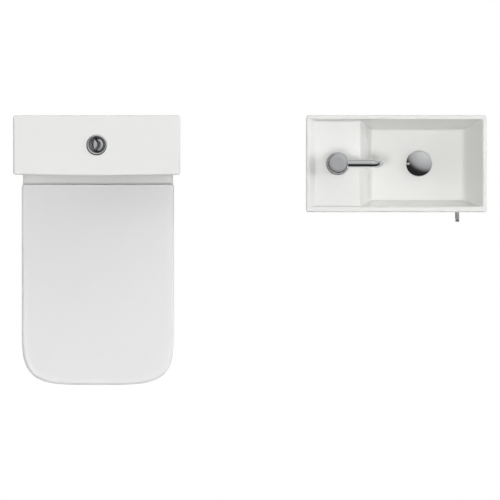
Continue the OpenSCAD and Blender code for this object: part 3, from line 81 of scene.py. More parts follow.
# The camera sees white paper, and the set is lit by the grey floor
ray = nodes.new("ShaderNodeLightPath")
paper = nodes.new("ShaderNodeEmission")
choose = nodes.new("ShaderNodeMixShader")
links.new(ray.outputs["Is Camera Ray"], choose.inputs[0])
links.new(shader.outputs[0], choose.inputs[1])
links.new(paper.outputs[0], choose.inputs[2])
links.new(choose.outputs[0], nodes["Material Output"].inputs["Surface"])
floor_mesh.materials.append(floor_white)


def soft_light(name, place, aim, width, depth, power):
    """A rectangular area light of that power in watts. It stands at place, faces the point aim and is unseen
    in the chrome."""
    light = bpy.data.lights.new(name, "AREA")
    light.shape = "RECTANGLE"
    light.size, light.size_y, light.energy = width, depth, power
    lamp = bpy.data.objects.new(name, light)
    bpy.context.scene.collection.objects.link(lamp)
    lamp.location = place
    lamp.rotation_euler = (Vector(aim) - Vector(place)).to_track_quat("-Z", "Y").to_euler()
    lamp.visible_glossy = False


soft_light("overhead_light", (0.0, -0.45, 9.0), (0.0, -0.45, 0.0), 3.0, 1.6, 416)
soft_light("right_light", (8.0, 0.2, 7.0), (0.0, 0.2, 0.8), 1.2, 1.2, 104)
soft_light("low_right_light", (9.0, 1.0, 3.5), (0.0, 0.0, 0.5), 3.0, 2.0, 176)
soft_light("front_light", (0.0, -8.0, 5.0), (0.0, 0.0, 0.5), 7.0, 3.0, 100)
soft_light("left_light", (-8.0, 0.0, 6.0), (0.0, 0.0, 0.5), 3.0, 3.0, 100)

world = bpy.data.worlds.new("studio")
bpy.context.scene.world = world
world.use_nodes = True
sky = world.node_tree
sky.nodes.clear()
direction = sky.nodes.new("ShaderNodeTexCoord")


def facing(axis):
    """How nearly a direction points along the axis: their dot product, from -1 to 1."""
    dot = sky.nodes.new("ShaderNodeVectorMath")
    dot.operation = "DOT_PRODUCT"
    dot.inputs[1].default_value = axis
    sky.links.new(direction.outputs["Generated"], dot.inputs[0])
    return dot.outputs["Value"]


def bands(source, stops):
    """Greys over a dot product from -1 to 1, joined straight between pairs (product, grey)."""
    spread = sky.nodes.new("ShaderNodeMapRange")
    spread.inputs["From Min"].default_value = -1.0
    sky.links.new(source, spread.inputs["Value"])
    ramp = sky.nodes.new("ShaderNodeValToRGB")
    sky.links.new(spread.outputs["Result"], ramp.inputs[0])
    ends = ramp.color_ramp.elements
    ends[0].position, ends[1].position = (stops[0][0] + 1) / 2, (stops[-1][0] + 1) / 2
    ends[0].color, ends[1].color = (*[stops[0][1]] * 3, 1), (*[stops[-1][1]] * 3, 1)
    for place, grey in stops[1:-1]:
        ends.new((place + 1) / 2).color = (grey, grey, grey, 1)
    return ramp.outputs["Color"]


def background(colour):
    """The world's light in that colour."""
    made = sky.nodes.new("ShaderNodeBackground")
    sky.links.new(colour, made.inputs["Color"])
    return made.outputs[0]


right_rear, window = (0.5, 0.87, 0.0), (0.35, 0.60, 0.72)
room = background(bands(facing(right_rear), [(-1.0, 0.0), (0.0, 0.0), (1.0, 1.06)]))
seen_in_chrome = background(bands(facing(window), [
    (-1.0, 0.30), (-0.62, 0.30), (-0.52, 0.03), (0.10, 0.02), (0.30, 0.02), (0.42, 0.03), (0.50, 0.10),
    (0.58, 0.26), (0.66, 0.37), (0.72, 0.42), (0.90, 0.55), (0.95, 0.60), (1.0, 0.66)]))
sky_ray = sky.nodes.new("ShaderNodeLightPath")
choose_sky = sky.nodes.new("ShaderNodeMixShader")
output = sky.nodes.new("ShaderNodeOutputWorld")
sky.links.new(sky_ray.outputs["Is Glossy Ray"], choose_sky.inputs[0])
sky.links.new(room, choose_sky.inputs[1])
sky.links.new(seen_in_chrome, choose_sky.inputs[2])
sky.links.new(choose_sky.outputs[0], output.inputs["Surface"])


# Cistern lid
# The loose lid of the tank, slip-cast in the same vitreous china and glazed all over. A lip hangs over the
# tank's edge, and one hole takes the flush button.
wc_origin = np.array([-344.5, 304.5, 0.0])
lid_foot, lid_top, button_place = 785.0, 815.0, np.array([0.0, -67.0])


def finish_group():
    """Node group of three noises over the object. The colour's value is 1 + tint (broad + middle - 1), the
    roughness is the given one + wear (middle - 0.45) where that is positive, and the height is fine plus
    twice middle."""
    group = bpy.data.node_groups.new("surface_variation", "ShaderNodeTree")
    sockets = (("Color", "NodeSocketColor"), ("Tint", "NodeSocketFloat"), ("Roughness", "NodeSocketFloat"),
               ("Wear", "NodeSocketFloat"), ("Grain", "NodeSocketFloat"))
    for name, kind in sockets:
        group.interface.new_socket(name, in_out="INPUT", socket_type=kind)
    results = (("Color", "NodeSocketColor"), ("Roughness", "NodeSocketFloat"), ("Height", "NodeSocketFloat"))
    for name, kind in results:
        group.interface.new_socket(name, in_out="OUTPUT", socket_type=kind)
    nodes, links = group.nodes, group.links
    given, taken = nodes.new("NodeGroupInput"), nodes.new("NodeGroupOutput")
    place = nodes.new("ShaderNodeTexCoord")

    def feed(socket, value):
        """Sets a socket to a number, or links another socket to it."""
        if isinstance(value, (int, float)):
            socket.default_value = value
        else:
            links.new(value, socket)

    def noise(scale, detail):
        """A noise over the object, with its scale per metre."""
        made = nodes.new("ShaderNodeTexNoise")
        feed(made.inputs["Scale"], scale)
        feed(made.inputs["Detail"], detail)
        feed(made.inputs["Vector"], place.outputs["Object"])
        return made.outputs["Fac"]

    def reckon(operation, first, second):
        """One arithmetic node."""
        made = nodes.new("ShaderNodeMath")
        made.operation = operation
        feed(made.inputs[0], first)
        feed(made.inputs[1], second)
        return made.outputs[0]

    broad, middle, fine = noise(7.0, 3.0), noise(42.0, 4.0), noise(given.outputs["Grain"], 2.0)
    swing = reckon("MULTIPLY", reckon("SUBTRACT", reckon("ADD", broad, middle), 1.0), given.outputs["Tint"])
    shade = nodes.new("ShaderNodeHueSaturation")
    feed(shade.inputs["Color"], given.outputs["Color"])
    feed(shade.inputs["Value"], reckon("ADD", swing, 1.0))
    feed(taken.inputs["Color"], shade.outputs["Color"])
    worn = reckon("MULTIPLY", reckon("MAXIMUM", reckon("SUBTRACT", middle, 0.45), 0.0), given.outputs["Wear"])
    feed(taken.inputs["Roughness"], reckon("ADD", given.outputs["Roughness"], worn))
    feed(taken.inputs["Height"], reckon("ADD", fine, reckon("MULTIPLY", middle, 2.0)))
    return group


variation = finish_group()


def finish_of(name, colour, roughness, tint, wear, grain, bump, metallic=0.0, coat=0.0):
    """A material whose colour, roughness and height vary over the piece: tint and wear say by how much the
    first two do, grain is the fine noise's scale per metre, and bump is the strength of the relief."""
    material, shader = material_of(name)
    nodes, links = material.node_tree.nodes, material.node_tree.links
    vary = nodes.new("ShaderNodeGroup")
    vary.node_tree = variation
    given = {"Color": (*colour, 1), "Tint": tint, "Roughness": roughness, "Wear": wear, "Grain": grain}
    for socket, value in given.items():
        vary.inputs[socket].default_value = value
    relief = nodes.new("ShaderNodeBump")
    relief.inputs["Strength"].default_value = bump
    relief.inputs["Distance"].default_value = 0.2 * MM
    links.new(vary.outputs["Color"], shader.inputs["Base Color"])
    links.new(vary.outputs["Roughness"], shader.inputs["Roughness"])
    links.new(vary.outputs["Height"], relief.inputs["Height"])
    links.new(relief.outputs["Normal"], shader.inputs["Normal"])
    shader.inputs["Metallic"].default_value = metallic
    shader.inputs["Coat Weight"].default_value = coat
    shader.inputs["Coat Roughness"].default_value = 0.03
    return material


ceramic = finish_of("glazed_ceramic", (0.776, 0.776, 0.76), 0.12, tint=0.012, wear=0.25, grain=260.0,
                    bump=0.03, coat=0.5)


def paint(material, *names):
    """Gives the CAD nodes of these names one material."""
    for name in names:
        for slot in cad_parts[name].material_slots:
            slot.link = "OBJECT"
            slot.material = material


def loft(name, rows, origin, material, body, ring=False, crease=40.0):
    """A piece whose surface runs through rows of points, each row a closed loop with the same number of
    points: point (i, j) joins (i, j + 1) round the loop and (i + 1, j) along. A row shrunk to one point is a
    pole, and with ring the last row joins the first. Edges that bend more than crease degrees stay sharp."""
    points = np.asarray(rows, float)
    count, around = points.shape[:2]
    index = np.arange(count * around).reshape(count, around)
    low = index if ring else index[:-1]
    high = np.roll(index, -1, axis=0) if ring else index[1:]
    faces = np.stack([low, np.roll(low, -1, 1), np.roll(high, -1, 1), high], axis=-1).reshape(-1, 4)
    mesh = bpy.data.meshes.new(name)
    mesh.from_pydata(((points.reshape(-1, 3) + origin) * MM).tolist(), [], faces.tolist())
    shape = bmesh.new()
    shape.from_mesh(mesh)
    bmesh.ops.remove_doubles(shape, verts=shape.verts, dist=0.001 * MM)
    bmesh.ops.recalc_face_normals(shape, faces=shape.faces)
    shape.to_mesh(mesh)
    shape.free()
    mesh.shade_smooth()
    mesh.set_sharp_from_angle(angle=np.radians(crease))
    mesh.materials.append(material)
    piece = bpy.data.objects.new(name, mesh)
    bpy.context.scene.collection.objects.link(piece)
    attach(piece, body)
    return piece


def at_level(outline, z):
    """Points (x, y) lifted to the height z."""
    return np.concatenate([outline, np.full((len(outline), 1), float(z))], axis=1)


def towards(outer, inner, share):
    """Points that share of the way from the outer ones to the inner ones."""
    return outer * (1 - share) + inner * share


def turned_to(outline, centre, radius):
    """The circle round centre whose points lie in the same directions as the outline's."""
    away = outline - centre
    return centre + radius * away / np.linalg.norm(away, axis=1, keepdims=True)


def quarter(inset, z, radius, start, end, steps):
    """Pairs (inset, z) along an arc round (inset, z), from the angle start to end, in degrees."""
    angle = np.radians(np.linspace(start, end, steps))
    return [(inset + radius * np.cos(a), z + radius * np.sin(a)) for a in angle]


def rounded_rectangle(x0, x1, y0, y1, r, across, down):
    """Four straight sides, evenly divided, joined by quarter circles of radius r. The number of points is the
    same whatever the size, so that rows may shrink inwards."""
    bend = np.radians(np.linspace(0, 90, 9))
    right, left, back, front = x1 - r, x0 + r, y1 - r, y0 + r
    run, fall = np.linspace(right, left, across)[1:-1], np.linspace(back, front, down)[1:-1]
    arc = r * np.stack([np.cos(bend), np.sin(bend)], axis=1)
    return np.concatenate([
        np.array([right, back]) + arc,
        np.stack([run, np.full(run.shape, y1)], axis=1),
        np.array([left, back]) + arc[::-1] * np.array([-1, 1]),
        np.stack([np.full(fall.shape, x0), fall], axis=1),
        np.array([left, front]) - arc,
        np.stack([run[::-1], np.full(run.shape, y0)], axis=1),
        np.array([right, front]) + arc[::-1] * np.array([1, -1]),
        np.stack([np.full(fall.shape, x1), fall[::-1]], axis=1),
    ])


def lid_outline(inset):
    """The lid's outline, moved inwards by inset; its front edge bows forward a little."""
    half, front, bow, corner = 188.0, -133.8, 2.2, max(6.0 - inset, 0.6)
    outline = rounded_rectangle(-half + inset, half - inset, front + inset, -inset, corner, 62, 24)
    forward = outline[:, 1] < front / 2
    outline[:, 1] -= np.where(forward, bow * (1 - (outline[:, 0] / half) ** 2), 0.0)
    return outline


def lid_rows():
    """Outside from the lip's foot up over the edge, across the top to the button's hole, down through the
    plate, out along its underside and down inside the lip."""
    low, top, plate, hole, lip, edge = lid_foot, lid_top, 16.0, 20.0, 9.0, 4.0
    side = [(1.0, low), (0.0, low + 1.0), (0.0, top - 10), (0.0, top - edge)]
    side += quarter(edge, top - edge, edge, 180, 90, 8)[1:]
    rows = [at_level(lid_outline(i), z) for i, z in side]
    inner = lid_outline(edge + 1)
    round_hole = turned_to(inner, button_place, hole)
    for share in (0.0, 0.05, 0.3, 0.6, 0.85, 0.96):
        rows.append(at_level(towards(inner, round_hole, share), top))
    rows += [at_level(turned_to(inner, button_place, hole + 1), top), at_level(round_hole, top - 1)]
    rows += [at_level(round_hole, top - plate)]
    under = lid_outline(lip + 3)
    for share in (0.9, 0.6, 0.3, 0.05, 0.0):
        rows.append(at_level(towards(under, round_hole, share), top - plate))
    rows += [at_level(lid_outline(lip), top - plate - 3), at_level(lid_outline(lip), low + 1)]
    rows += [at_level(lid_outline(lip - 1), low)]
    return rows


lid = loft("cistern_lid_glazed", lid_rows(), wc_origin, ceramic, "cistern_lid", ring=True)
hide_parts("cistern_lid")


# Cistern and its fittings
# The china tank under the lid, the valves inside it, their washers and nuts, and the bolts that pull the
# tank down on the pan. They are sound as modelled and take their real finishes here.
white_plastic = finish_of("moulded_white_plastic", (0.74, 0.74, 0.73), 0.34, tint=0.05, wear=0.5,
                          grain=1400.0, bump=0.10)
blue_plastic = finish_of("moulded_blue_plastic", (0.05, 0.13, 0.42), 0.36, tint=0.12, wear=0.6,
                         grain=1400.0, bump=0.10)
black_rubber = finish_of("black_rubber", (0.022, 0.022, 0.024), 0.62, tint=0.25, wear=0.5,
                         grain=2200.0, bump=0.30)
red_rubber = finish_of("red_rubber", (0.33, 0.04, 0.025), 0.55, tint=0.2, wear=0.5, grain=2000.0, bump=0.25)
brass = finish_of("machined_brass", (0.72, 0.49, 0.20), 0.24, tint=0.10, wear=0.9, grain=1800.0,
                  bump=0.10, metallic=1.0)
zinc_steel = finish_of("zinc_plated_steel", (0.60, 0.61, 0.63), 0.32, tint=0.12, wear=0.8, grain=1600.0,
                       bump=0.12, metallic=1.0)
paint(ceramic, "cistern")
paint(white_plastic, "bezel_nut", "half_push_rod", "full_push_rod", "flush_piston", "fill_valve_body",
      "float_arm", "valve_backnuts")
paint(blue_plastic, "flush_valve_body", "float")
paint(black_rubber, "cistern_washers", "coupling_gasket")
paint(red_rubber, "flush_seal")
paint(brass, "cistern_wing_nuts")
paint(zinc_steel, "cistern_bolts")


# Flush bezel and buttons
# Two chromed plastic buttons, a lens and a crescent, in a round chromed bezel. The bezel's neck drops through
# the lid and a nut below holds it. The near-black lining of the well under the buttons is painted shade, so
# the gaps look dark.
plated = finish_of("chromed_plastic", (0.84, 0.85, 0.86), 0.06, tint=0.04, wear=0.35, grain=700.0,
                   bump=0.02, metallic=1.0)
button_centre = wc_origin + np.append(button_place, 0.0)


def spun(name, profile, centre, material, body):
    """A profile of pairs (radius, z) turned once round the upright axis through centre."""
    turn = np.linspace(0, 2 * np.pi, 96, endpoint=False)
    radius, level = np.asarray(profile, float).T[:, :, None]
    rows = np.stack([radius * np.cos(turn), radius * np.sin(turn), np.repeat(level, len(turn), 1)], axis=-1)
    return loft(name, rows, centre, material, body)


bezel_middle, bezel_half, bezel_level, bezel_rise = 20.5, 3.4, lid_top - 0.4, 3.35
bore, neck, neck_wall, neck_foot = bezel_middle - bezel_half, 19.5, 1.9, 790.0
well_floor, well_underside, seated = 802.5, 800.5, lid_top + 0.02
bezel_arc = np.radians(np.linspace(178, 8, 26))
bezel_rim = [(bezel_middle + bezel_half * np.cos(a), bezel_level + bezel_rise * np.sin(a)) for a in bezel_arc]
bezel_inside = [(0.0, well_floor), (bore - 0.2, well_floor), (bore, well_floor + 0.5)]
bezel_neck = [(bezel_middle + 3.2, seated), (neck + 0.1, seated), (neck, lid_top - 0.1), (neck, neck_foot),
              (neck - neck_wall, neck_foot), (neck - neck_wall, well_underside), (0.0, well_underside)]
bezel_profile = bezel_inside + bezel_rim + bezel_neck
bezel = spun("flush_bezel_turned", bezel_profile, button_centre, plated, "cistern_lid")
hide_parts("flush_bezel")
# Painted shade: a near-black lining laid in the bezel's well stands in for the shade in the gaps between the
# buttons
painted_shade_plastic = finish_of("painted_shade_lining", (0.035, 0.035, 0.038), 0.5, tint=0.2, wear=0.5, grain=900.0,
                         bump=0.15)
lining, lining_top, lining_out = well_floor + 0.1, 812.4, bore - 0.1
well_profile = [(0.0, lining), (lining_out - 0.5, lining), (lining_out - 0.2, lining + 0.3),
                (lining_out - 0.2, lining_top), (lining_out, lining_top), (lining_out, lining - 0.05),
                (0.0, lining - 0.05)]
well = spun("flush_bezel_shade_lining", well_profile, button_centre, painted_shade_plastic, "cistern_lid")


def cushion(name, outline, spine, low, top, drop, body):
    """A button whose outline's points move a share of the way to the matching points of its spine while the
    level rises as top - drop (1 - share) cubed. The sides go straight down from the outline."""
    rows = [at_level(towards(outline, spine, s), low) for s in (1.0, 0.1)] + [at_level(outline, low)]
    for share in np.concatenate([[0.0], np.linspace(0.03, 1.0, 16)]):
        rows.append(at_level(towards(outline, spine, share), top - drop * (1 - share) ** 3))
    piece = loft(name, rows, button_centre, plated, body, crease=60.0)
    return piece


# The lens lies between two arcs of one radius, whose centres are at lens_left and lens_right
button_foot, button_top, button_drop, button_radius = 811.5, 817.4, 3.2, 16.0
lens_reach = np.linspace(-1.0, 1.0, 41) * 13.4
lens_radius, lens_left, lens_right = 15.9, -13.255, 3.655
bulge = np.sqrt(lens_radius ** 2 - lens_reach ** 2)
right_arc = np.stack([lens_left + bulge, lens_reach], axis=1)
left_arc = np.stack([lens_right - bulge, lens_reach], axis=1)[::-1]
lens = np.concatenate([right_arc, left_arc[1:-1]])
lens_spine = np.stack([np.full(len(lens), (lens_left + lens_right) / 2), lens[:, 1] * 0.55], axis=1)
half_button = cushion("half_flush_lens", lens, lens_spine, button_foot, button_top, button_drop, "half_flush")
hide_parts("half_flush_button")

# The crescent fills the right of the well and keeps a gap beside the lens
crescent_reach, crescent_gap, crescent_left = np.linspace(-1.0, 1.0, 41) * 13.9, 2.055, -2.6
outer_arc = np.stack([np.sqrt(button_radius ** 2 - crescent_reach ** 2), crescent_reach], axis=1)
hollow = lens_left + np.sqrt((lens_radius + crescent_gap) ** 2 - crescent_reach ** 2)
inner_arc = np.stack([np.maximum(hollow, crescent_left), crescent_reach], axis=1)
crescent_spine = (outer_arc + inner_arc) / 2 * np.array([1.0, 0.86])
full_button = cushion("full_flush_crescent", np.concatenate([outer_arc, inner_arc[::-1]]),
                      np.concatenate([crescent_spine, crescent_spine[::-1]]),
                      button_foot, button_top, button_drop, "full_flush")
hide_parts("full_flush_button")

# A fixed island of the bezel fills the left of the well
island_reach, island_gap, island_right = np.linspace(-1.0, 1.0, 41) * 15.2, 1.2, -3.2
wall_arc = np.stack([-np.sqrt((button_radius + 0.4) ** 2 - island_reach ** 2), island_reach], axis=1)
lens_side = lens_right - np.sqrt(np.maximum((lens_radius + island_gap) ** 2 - island_reach ** 2, 0.0))
lens_side = np.maximum(np.minimum(lens_side, island_right), wall_arc[:, 0] + 0.2)
lens_side = np.stack([lens_side, island_reach], axis=1)
island_spine = (wall_arc + lens_side) / 2 * np.array([1.0, 0.94])
cushion("flush_bezel_island", np.concatenate([wall_arc, lens_side[::-1]]),
        np.concatenate([island_spine, island_spine[::-1]]),
        well_floor + 0.2, lid_top + 1.0, 2.4, "cistern_lid")


# Pan
# The floor-standing pan, one vitreous china casting: a skirt that widens upwards, a flat deck under the tank
# and the seat, and the bowl, which runs down into the waterways. The deck's rim is softly rounded.
bowl_centre = np.array([0.0, -393.0])
sump_centre = np.array([0.0, -336.0])
rim_level, rim_round = 400.0, 4.0
cap_y, cap_z, dimple_radius, dimple_depth = -300.0, 40.0, 8.9, 5.8
# The stations stand closer together beside the screw caps
beside_cap = np.linspace(cap_y + 14, cap_y - 14, 29)
side_stations = np.concatenate([np.linspace(-4, -284, 30), beside_cap, np.linspace(-320, -386, 8)])


def superellipse(a, b, n, angle):
    """Points of a superellipse: a and b times the cosine and sine to the power 2 / n, with their signs."""
    c, s = np.cos(angle), np.sin(angle)
    return np.stack([a * np.sign(c) * np.abs(c) ** (2 / n), b * np.sign(s) * np.abs(s) ** (2 / n)], axis=1)


def d_outline(half, back, front, nose, n, corner, stations):
    """D seen from above: straight sides, a nose of half an ellipse to the power n, and a straight back with
    rounded corners. The stations are the places y of the points on the sides, from the back forwards."""
    side = np.clip(stations, front + nose, back - corner)
    angle = np.linspace(0, -np.pi, 121)
    tip = superellipse(half, nose, n, angle) + np.array([0.0, front + nose])
    bend = np.radians(np.linspace(0, 90, 8))[1:-1]
    corner_x, corner_y = corner - half - corner * np.cos(bend), back - corner + corner * np.sin(bend)
    left_corner = np.stack([corner_x, corner_y], axis=1)
    across = np.linspace(-half + corner, half - corner, 40)
    rear = np.stack([across, np.full(across.shape, back)], axis=1)
    right = np.stack([np.full(side.shape, half), side], axis=1)
    mirror = np.array([-1.0, 1.0])
    left, right_corner = right[::-1] * mirror, left_corner[::-1] * mirror
    return np.concatenate([right, tip[1:-1], left, left_corner, rear, right_corner])


def pan_outline(z, inset=0.0, back=-4.0, corner=5.0):
    """The skirt's outline at the height z: four levels joined by straight slopes, eased by their mean over
    the heights within 35 mm."""
    levels, halves, fronts = [0, 110, 250, rim_level], [125, 149, 165, 170.5], [-513, -562, -588, -603]
    reach = np.linspace(-1, 1, 21) * min(35.0, z, rim_level - z)
    half = np.interp(z + reach, levels, halves).mean() - inset
    front = np.interp(z + reach, levels, fronts).mean() + inset
    outline = d_outline(half, back, front, 126.0 - inset * 0.5, 3.5, corner, side_stations)
    # Two screw caps sit in dimples of the skirt's outside
    if inset < dimple_depth:
        away = np.hypot(outline[:, 1] - cap_y, z - cap_z)
        dimple = np.where((away < dimple_radius) & (np.abs(outline[:, 0]) > half - 1), dimple_depth, 0.0)
        outline[:, 0] -= np.sign(outline[:, 0]) * dimple
    return outline


def by_direction(outline, centre, a, b, n):
    """Points of a superellipse round centre in the same directions as the outline's points: in each one the
    reach is |cos / a| to the power n plus |sin / b| to the power n, all to the power -1 / n."""
    away = outline - centre
    angle = np.arctan2(away[:, 1], away[:, 0])
    reach = (np.abs(np.cos(angle) / a) ** n + np.abs(np.sin(angle) / b) ** n) ** (-1 / n)
    return centre + np.stack([reach * np.cos(angle), reach * np.sin(angle)], axis=1)


def skirt_rows():
    """Round the skirt from one end at the wall to the other. Each row goes up its outside and down its
    inside, and the first and last rows have shrunk to the middle of the wall, which closes the ends."""
    wall, back, corner, nose_points = 13.0, -3.0, 1.0, 119
    # The outline's first points are those of its two sides and its nose
    sides = 2 * len(side_stations) + nose_points
    beside_cap = np.arange(cap_z - 10.5, cap_z + 11, 1.0)
    levels = np.concatenate([[0.0, 2.0, 10.0, 20.0, 27.0], beside_cap, np.linspace(56, 378, 46)])
    outer = np.stack([at_level(pan_outline(z, 0.0, back, corner)[:sides], z) for z in levels])
    inner = np.stack([at_level(pan_outline(z, wall, back, corner)[:sides], z) for z in levels])
    middle = (outer + inner) / 2
    rows = np.concatenate([outer, inner[::-1]]).transpose(1, 0, 2)
    ends = np.concatenate([middle, middle[::-1]]).transpose(1, 0, 2)
    return np.concatenate([ends[:1], rows, ends[-1:]])


def deck_rows():
    """Up the deck's edge, over the rim, across the deck, down the bowl to the sump, and back behind all
    that."""
    top, underside, outlet, lip = rim_level, 378.0, 180.0, 6.0
    bowl_half, bowl_reach, sump_radius, outlet_radius = 124.0, 173.0, 46.0, 52.0
    rim = pan_outline(top, rim_round)

    def bowl(inset):
        """The bowl's mouth, as much smaller than its outer edge as inset says."""
        return by_direction(rim, bowl_centre, bowl_half - inset, bowl_reach - inset, 2.5)

    mouth, soft = bowl(0.0), bowl(lip)
    rows = [at_level(pan_outline(z), z) for z in (underside, 386.0, 394.0)]
    over_rim = quarter(rim_round, top - rim_round, rim_round, 180, 90, 7)
    rows += [at_level(pan_outline(top, i), z) for i, z in over_rim]
    rows += [at_level(towards(rim, mouth, s), top) for s in (0.03, 0.2, 0.5, 0.8, 0.97)]
    for a in np.radians(np.linspace(0, 90, 7)):
        rows.append(at_level(towards(mouth, soft, np.sin(a)), top - lip + lip * np.cos(a)))
    sump = turned_to(rim - bowl_centre + sump_centre, sump_centre, sump_radius)
    shares = np.concatenate([np.linspace(0, 1, 20)[1:], np.ones(6)])
    depths = np.concatenate([np.linspace(top - lip, 240, 20)[1:], np.linspace(232, outlet, 6)])
    eased = np.convolve(np.pad(shares, 1, mode="edge"), np.ones(3) / 3, mode="valid")
    rows += [at_level(towards(bowl(lip + 1), sump, s), z) for s, z in zip(eased, depths)]
    wide = turned_to(sump, sump_centre, outlet_radius)
    rows += [at_level(wide, outlet), at_level(towards(mouth, wide, 0.96), 240.0), at_level(mouth, underside)]
    rows += [at_level(towards(mouth, pan_outline(underside), s), underside) for s in (0.3, 0.7)]
    return rows


skirt = loft("pan_skirt_glazed", skirt_rows(), wc_origin, ceramic, "base")
deck = loft("pan_deck_glazed", deck_rows(), wc_origin, ceramic, "base", ring=True)
for piece in (skirt, deck):
    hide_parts("pan")
paint(ceramic, "pan_waterways")
paint(white_plastic, "pan_brackets", "pan_screw_caps")
paint(zinc_steel, "pan_screws")


# Seat
# A ring and a lid of gloss moulded plastic, both hinged on two chromed posts. The ring is solid and crowned,
# the lid is a shell with a turned-down edge, and soft buffers keep them apart.
seat_plastic = finish_of("gloss_seat_plastic", (0.79, 0.79, 0.795), 0.16, tint=0.012, wear=0.35, grain=420.0,
                         bump=0.03, coat=0.35)
seat_stations = np.linspace(-160, -470, 40)
post_x, post_clear = 77.5, 23.0


def seat_edge(half, back, front, inset):
    """Outline of the ring or the lid: a D with a deep, full nose."""
    nose, corner = 146.0 - inset, max(5.0 - inset, 1.0)
    return d_outline(half - inset, back - inset, front + inset, nose, 4.3, corner, seat_stations)


def ring_edge(inset):
    """The ring's outline with a notch at each post in its straight back."""
    half, back, front, notch = 170.5, -173.0, -606.0, 13.0
    outline = seat_edge(half, back, front, inset)
    from_post = np.abs(np.abs(outline[:, 0]) - post_x)
    at_post = (from_post < post_clear + inset) & (outline[:, 1] > back - 2 - inset)
    outline[:, 1] -= np.where(at_post, notch, 0.0)
    return outline


def ring_rows():
    """Round the ring's section: up its outside, over the crown, down inside the opening and back below."""
    low, top, rise, inner_round = 406.0, 422.0, 1.5, 9.0
    open_half, open_reach = 105.0, 157.0
    outer = ring_edge(8.0)

    def opening(outset):
        """The opening's edge, as much larger as outset says."""
        return by_direction(outer, bowl_centre, open_half + outset, open_reach + outset, 2.5)

    side = [(0.8, low), (0.0, low + 0.8), (0.0, top - 7)] + quarter(6.0, top - 7.5, 6.0, 180, 95, 8)
    rows = [at_level(ring_edge(i), z) for i, z in side]
    for share in np.linspace(0.02, 0.98, 9):
        rows.append(at_level(towards(outer, opening(inner_round), share), top - rise * (2 * share - 1) ** 2))
    for t in np.radians(np.linspace(8, 90, 8)):
        rows.append(at_level(opening(inner_round * (1 - np.sin(t))), top - rise - 8 * (1 - np.cos(t))))
    rows += [at_level(opening(0.0), low + 2), at_level(opening(2.0), low)]
    rows += [at_level(towards(opening(4.0), ring_edge(2.0), s), low) for s in (0.3, 0.8)]
    return rows


ring = loft("seat_ring_moulded", ring_rows(), wc_origin, seat_plastic, "seat_ring", ring=True)
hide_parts("seat_ring")


def lid_shell_rows():
    """From the middle of the underside out to the edge, down it, round its foot, up outside and over the
    crown, which rises 1 mm to the middle as 1 - (1 - share) squared."""
    low, pocket, top, half, back, front = 424.0, 433.0, 440.0, 172.5, -155.0, -609.0

    def edge(inset):
        """The lid's outline, moved inwards by inset."""
        return seat_edge(half, back, front, inset)

    def crown_edge(inset):
        """The crown's outline, which is crisper at the straight back than elsewhere."""
        return seat_edge(half, back + 0.92 * inset, front, inset)

    middle = np.array([0.0, (back + front) / 2])
    floor_edge = edge(9.0)
    rows = [at_level(towards(floor_edge, middle, s), pocket) for s in (1.0, 0.6, 0.3, 0.04)]
    turned_down = [(9.0, pocket), (6.5, pocket - 2), (6.0, low + 1), (5.2, low), (0.8, low), (0.0, low + 0.8)]
    rows += [at_level(edge(i), z) for i, z in turned_down + [(0.0, top - 6)]]
    rows += [at_level(crown_edge(i), z) for i, z in quarter(4.5, top - 5.6, 4.5, 180, 92, 9)[1:]]
    crown = crown_edge(4.9)
    for share in (0.01, 0.04, 0.1, 0.2, 0.32, 0.45, 0.6, 0.75, 0.9, 1.0):
        rows.append(at_level(towards(crown, middle, share), top - (1 - share) ** 2))
    # The turned-down edge stops short at the two posts
    for row in rows:
        at_post = (np.abs(np.abs(row[:, 0]) - post_x) < post_clear) & (row[:, 1] > back - 7)
        row[:, 2] = np.where(at_post, np.maximum(row[:, 2], pocket), row[:, 2])
    return rows


seat_lid = loft("seat_lid_moulded", lid_shell_rows(), wc_origin, seat_plastic, "seat_lid")
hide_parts("seat_lid")
chrome = finish_of("polished_chrome", (0.86, 0.87, 0.88), 0.05, tint=0.03, wear=0.25, grain=500.0,
                   bump=0.01, metallic=1.0)
paint(chrome, "seat_hinge_posts")
paint(zinc_steel, "seat_hinge_pins")
paint(white_plastic, "seat_hinge_nuts", "seat_ring_buffers", "seat_lid_buffers")

hinge_axis = wc_origin + np.array([0.0, -171.0, 424.0])
lug_length, lug_gap, knuckle = 12.0, 8.3, 8.0


def hinge_lug(name, start, outline, body):
    """A lug beside a post: its outline (y, z) about the hinge's axis is carried along the axis from start,
    and its two end faces have a small bevel."""
    section = np.asarray(outline, float)
    middle, bevel = section.mean(axis=0), 0.7
    rows = []
    for along, share in ((0.0, 1.0), (0.0, 0.08), (bevel, 0.0)):
        profile = towards(section, middle, share)
        rows.append(np.concatenate([np.full((len(section), 1), along), profile], axis=1))
    far_rows = [row * np.array([-1.0, 1.0, 1.0]) + np.array([lug_length, 0.0, 0.0]) for row in rows[::-1]]
    piece = loft(name, rows + far_rows, hinge_axis + np.array([start, 0.0, 0.0]), seat_plastic, body)


barrel = np.radians(np.linspace(-90, 180, 28))
ring_lug = knuckle * np.stack([np.cos(barrel), np.sin(barrel)], axis=1)
ring_lug = np.concatenate([ring_lug, [(-19.0, -2.0), (-19.5, -15.0), (-0.5, -15.5)]])
arch = np.radians(np.linspace(180, 360, 20))
lid_lug = knuckle * np.stack([np.cos(arch), np.sin(arch)], axis=1)
lid_lug = np.concatenate([lid_lug, [(knuckle, 9.5), (-knuckle, 9.5)]])
for side, x in (("left", -post_x), ("right", post_x)):
    hinge_lug("seat_ring_lug_" + side, x + lug_gap, ring_lug, "seat_ring")
    hinge_lug("seat_lid_lug_" + side, x - lug_gap - lug_length, lid_lug, "seat_lid")


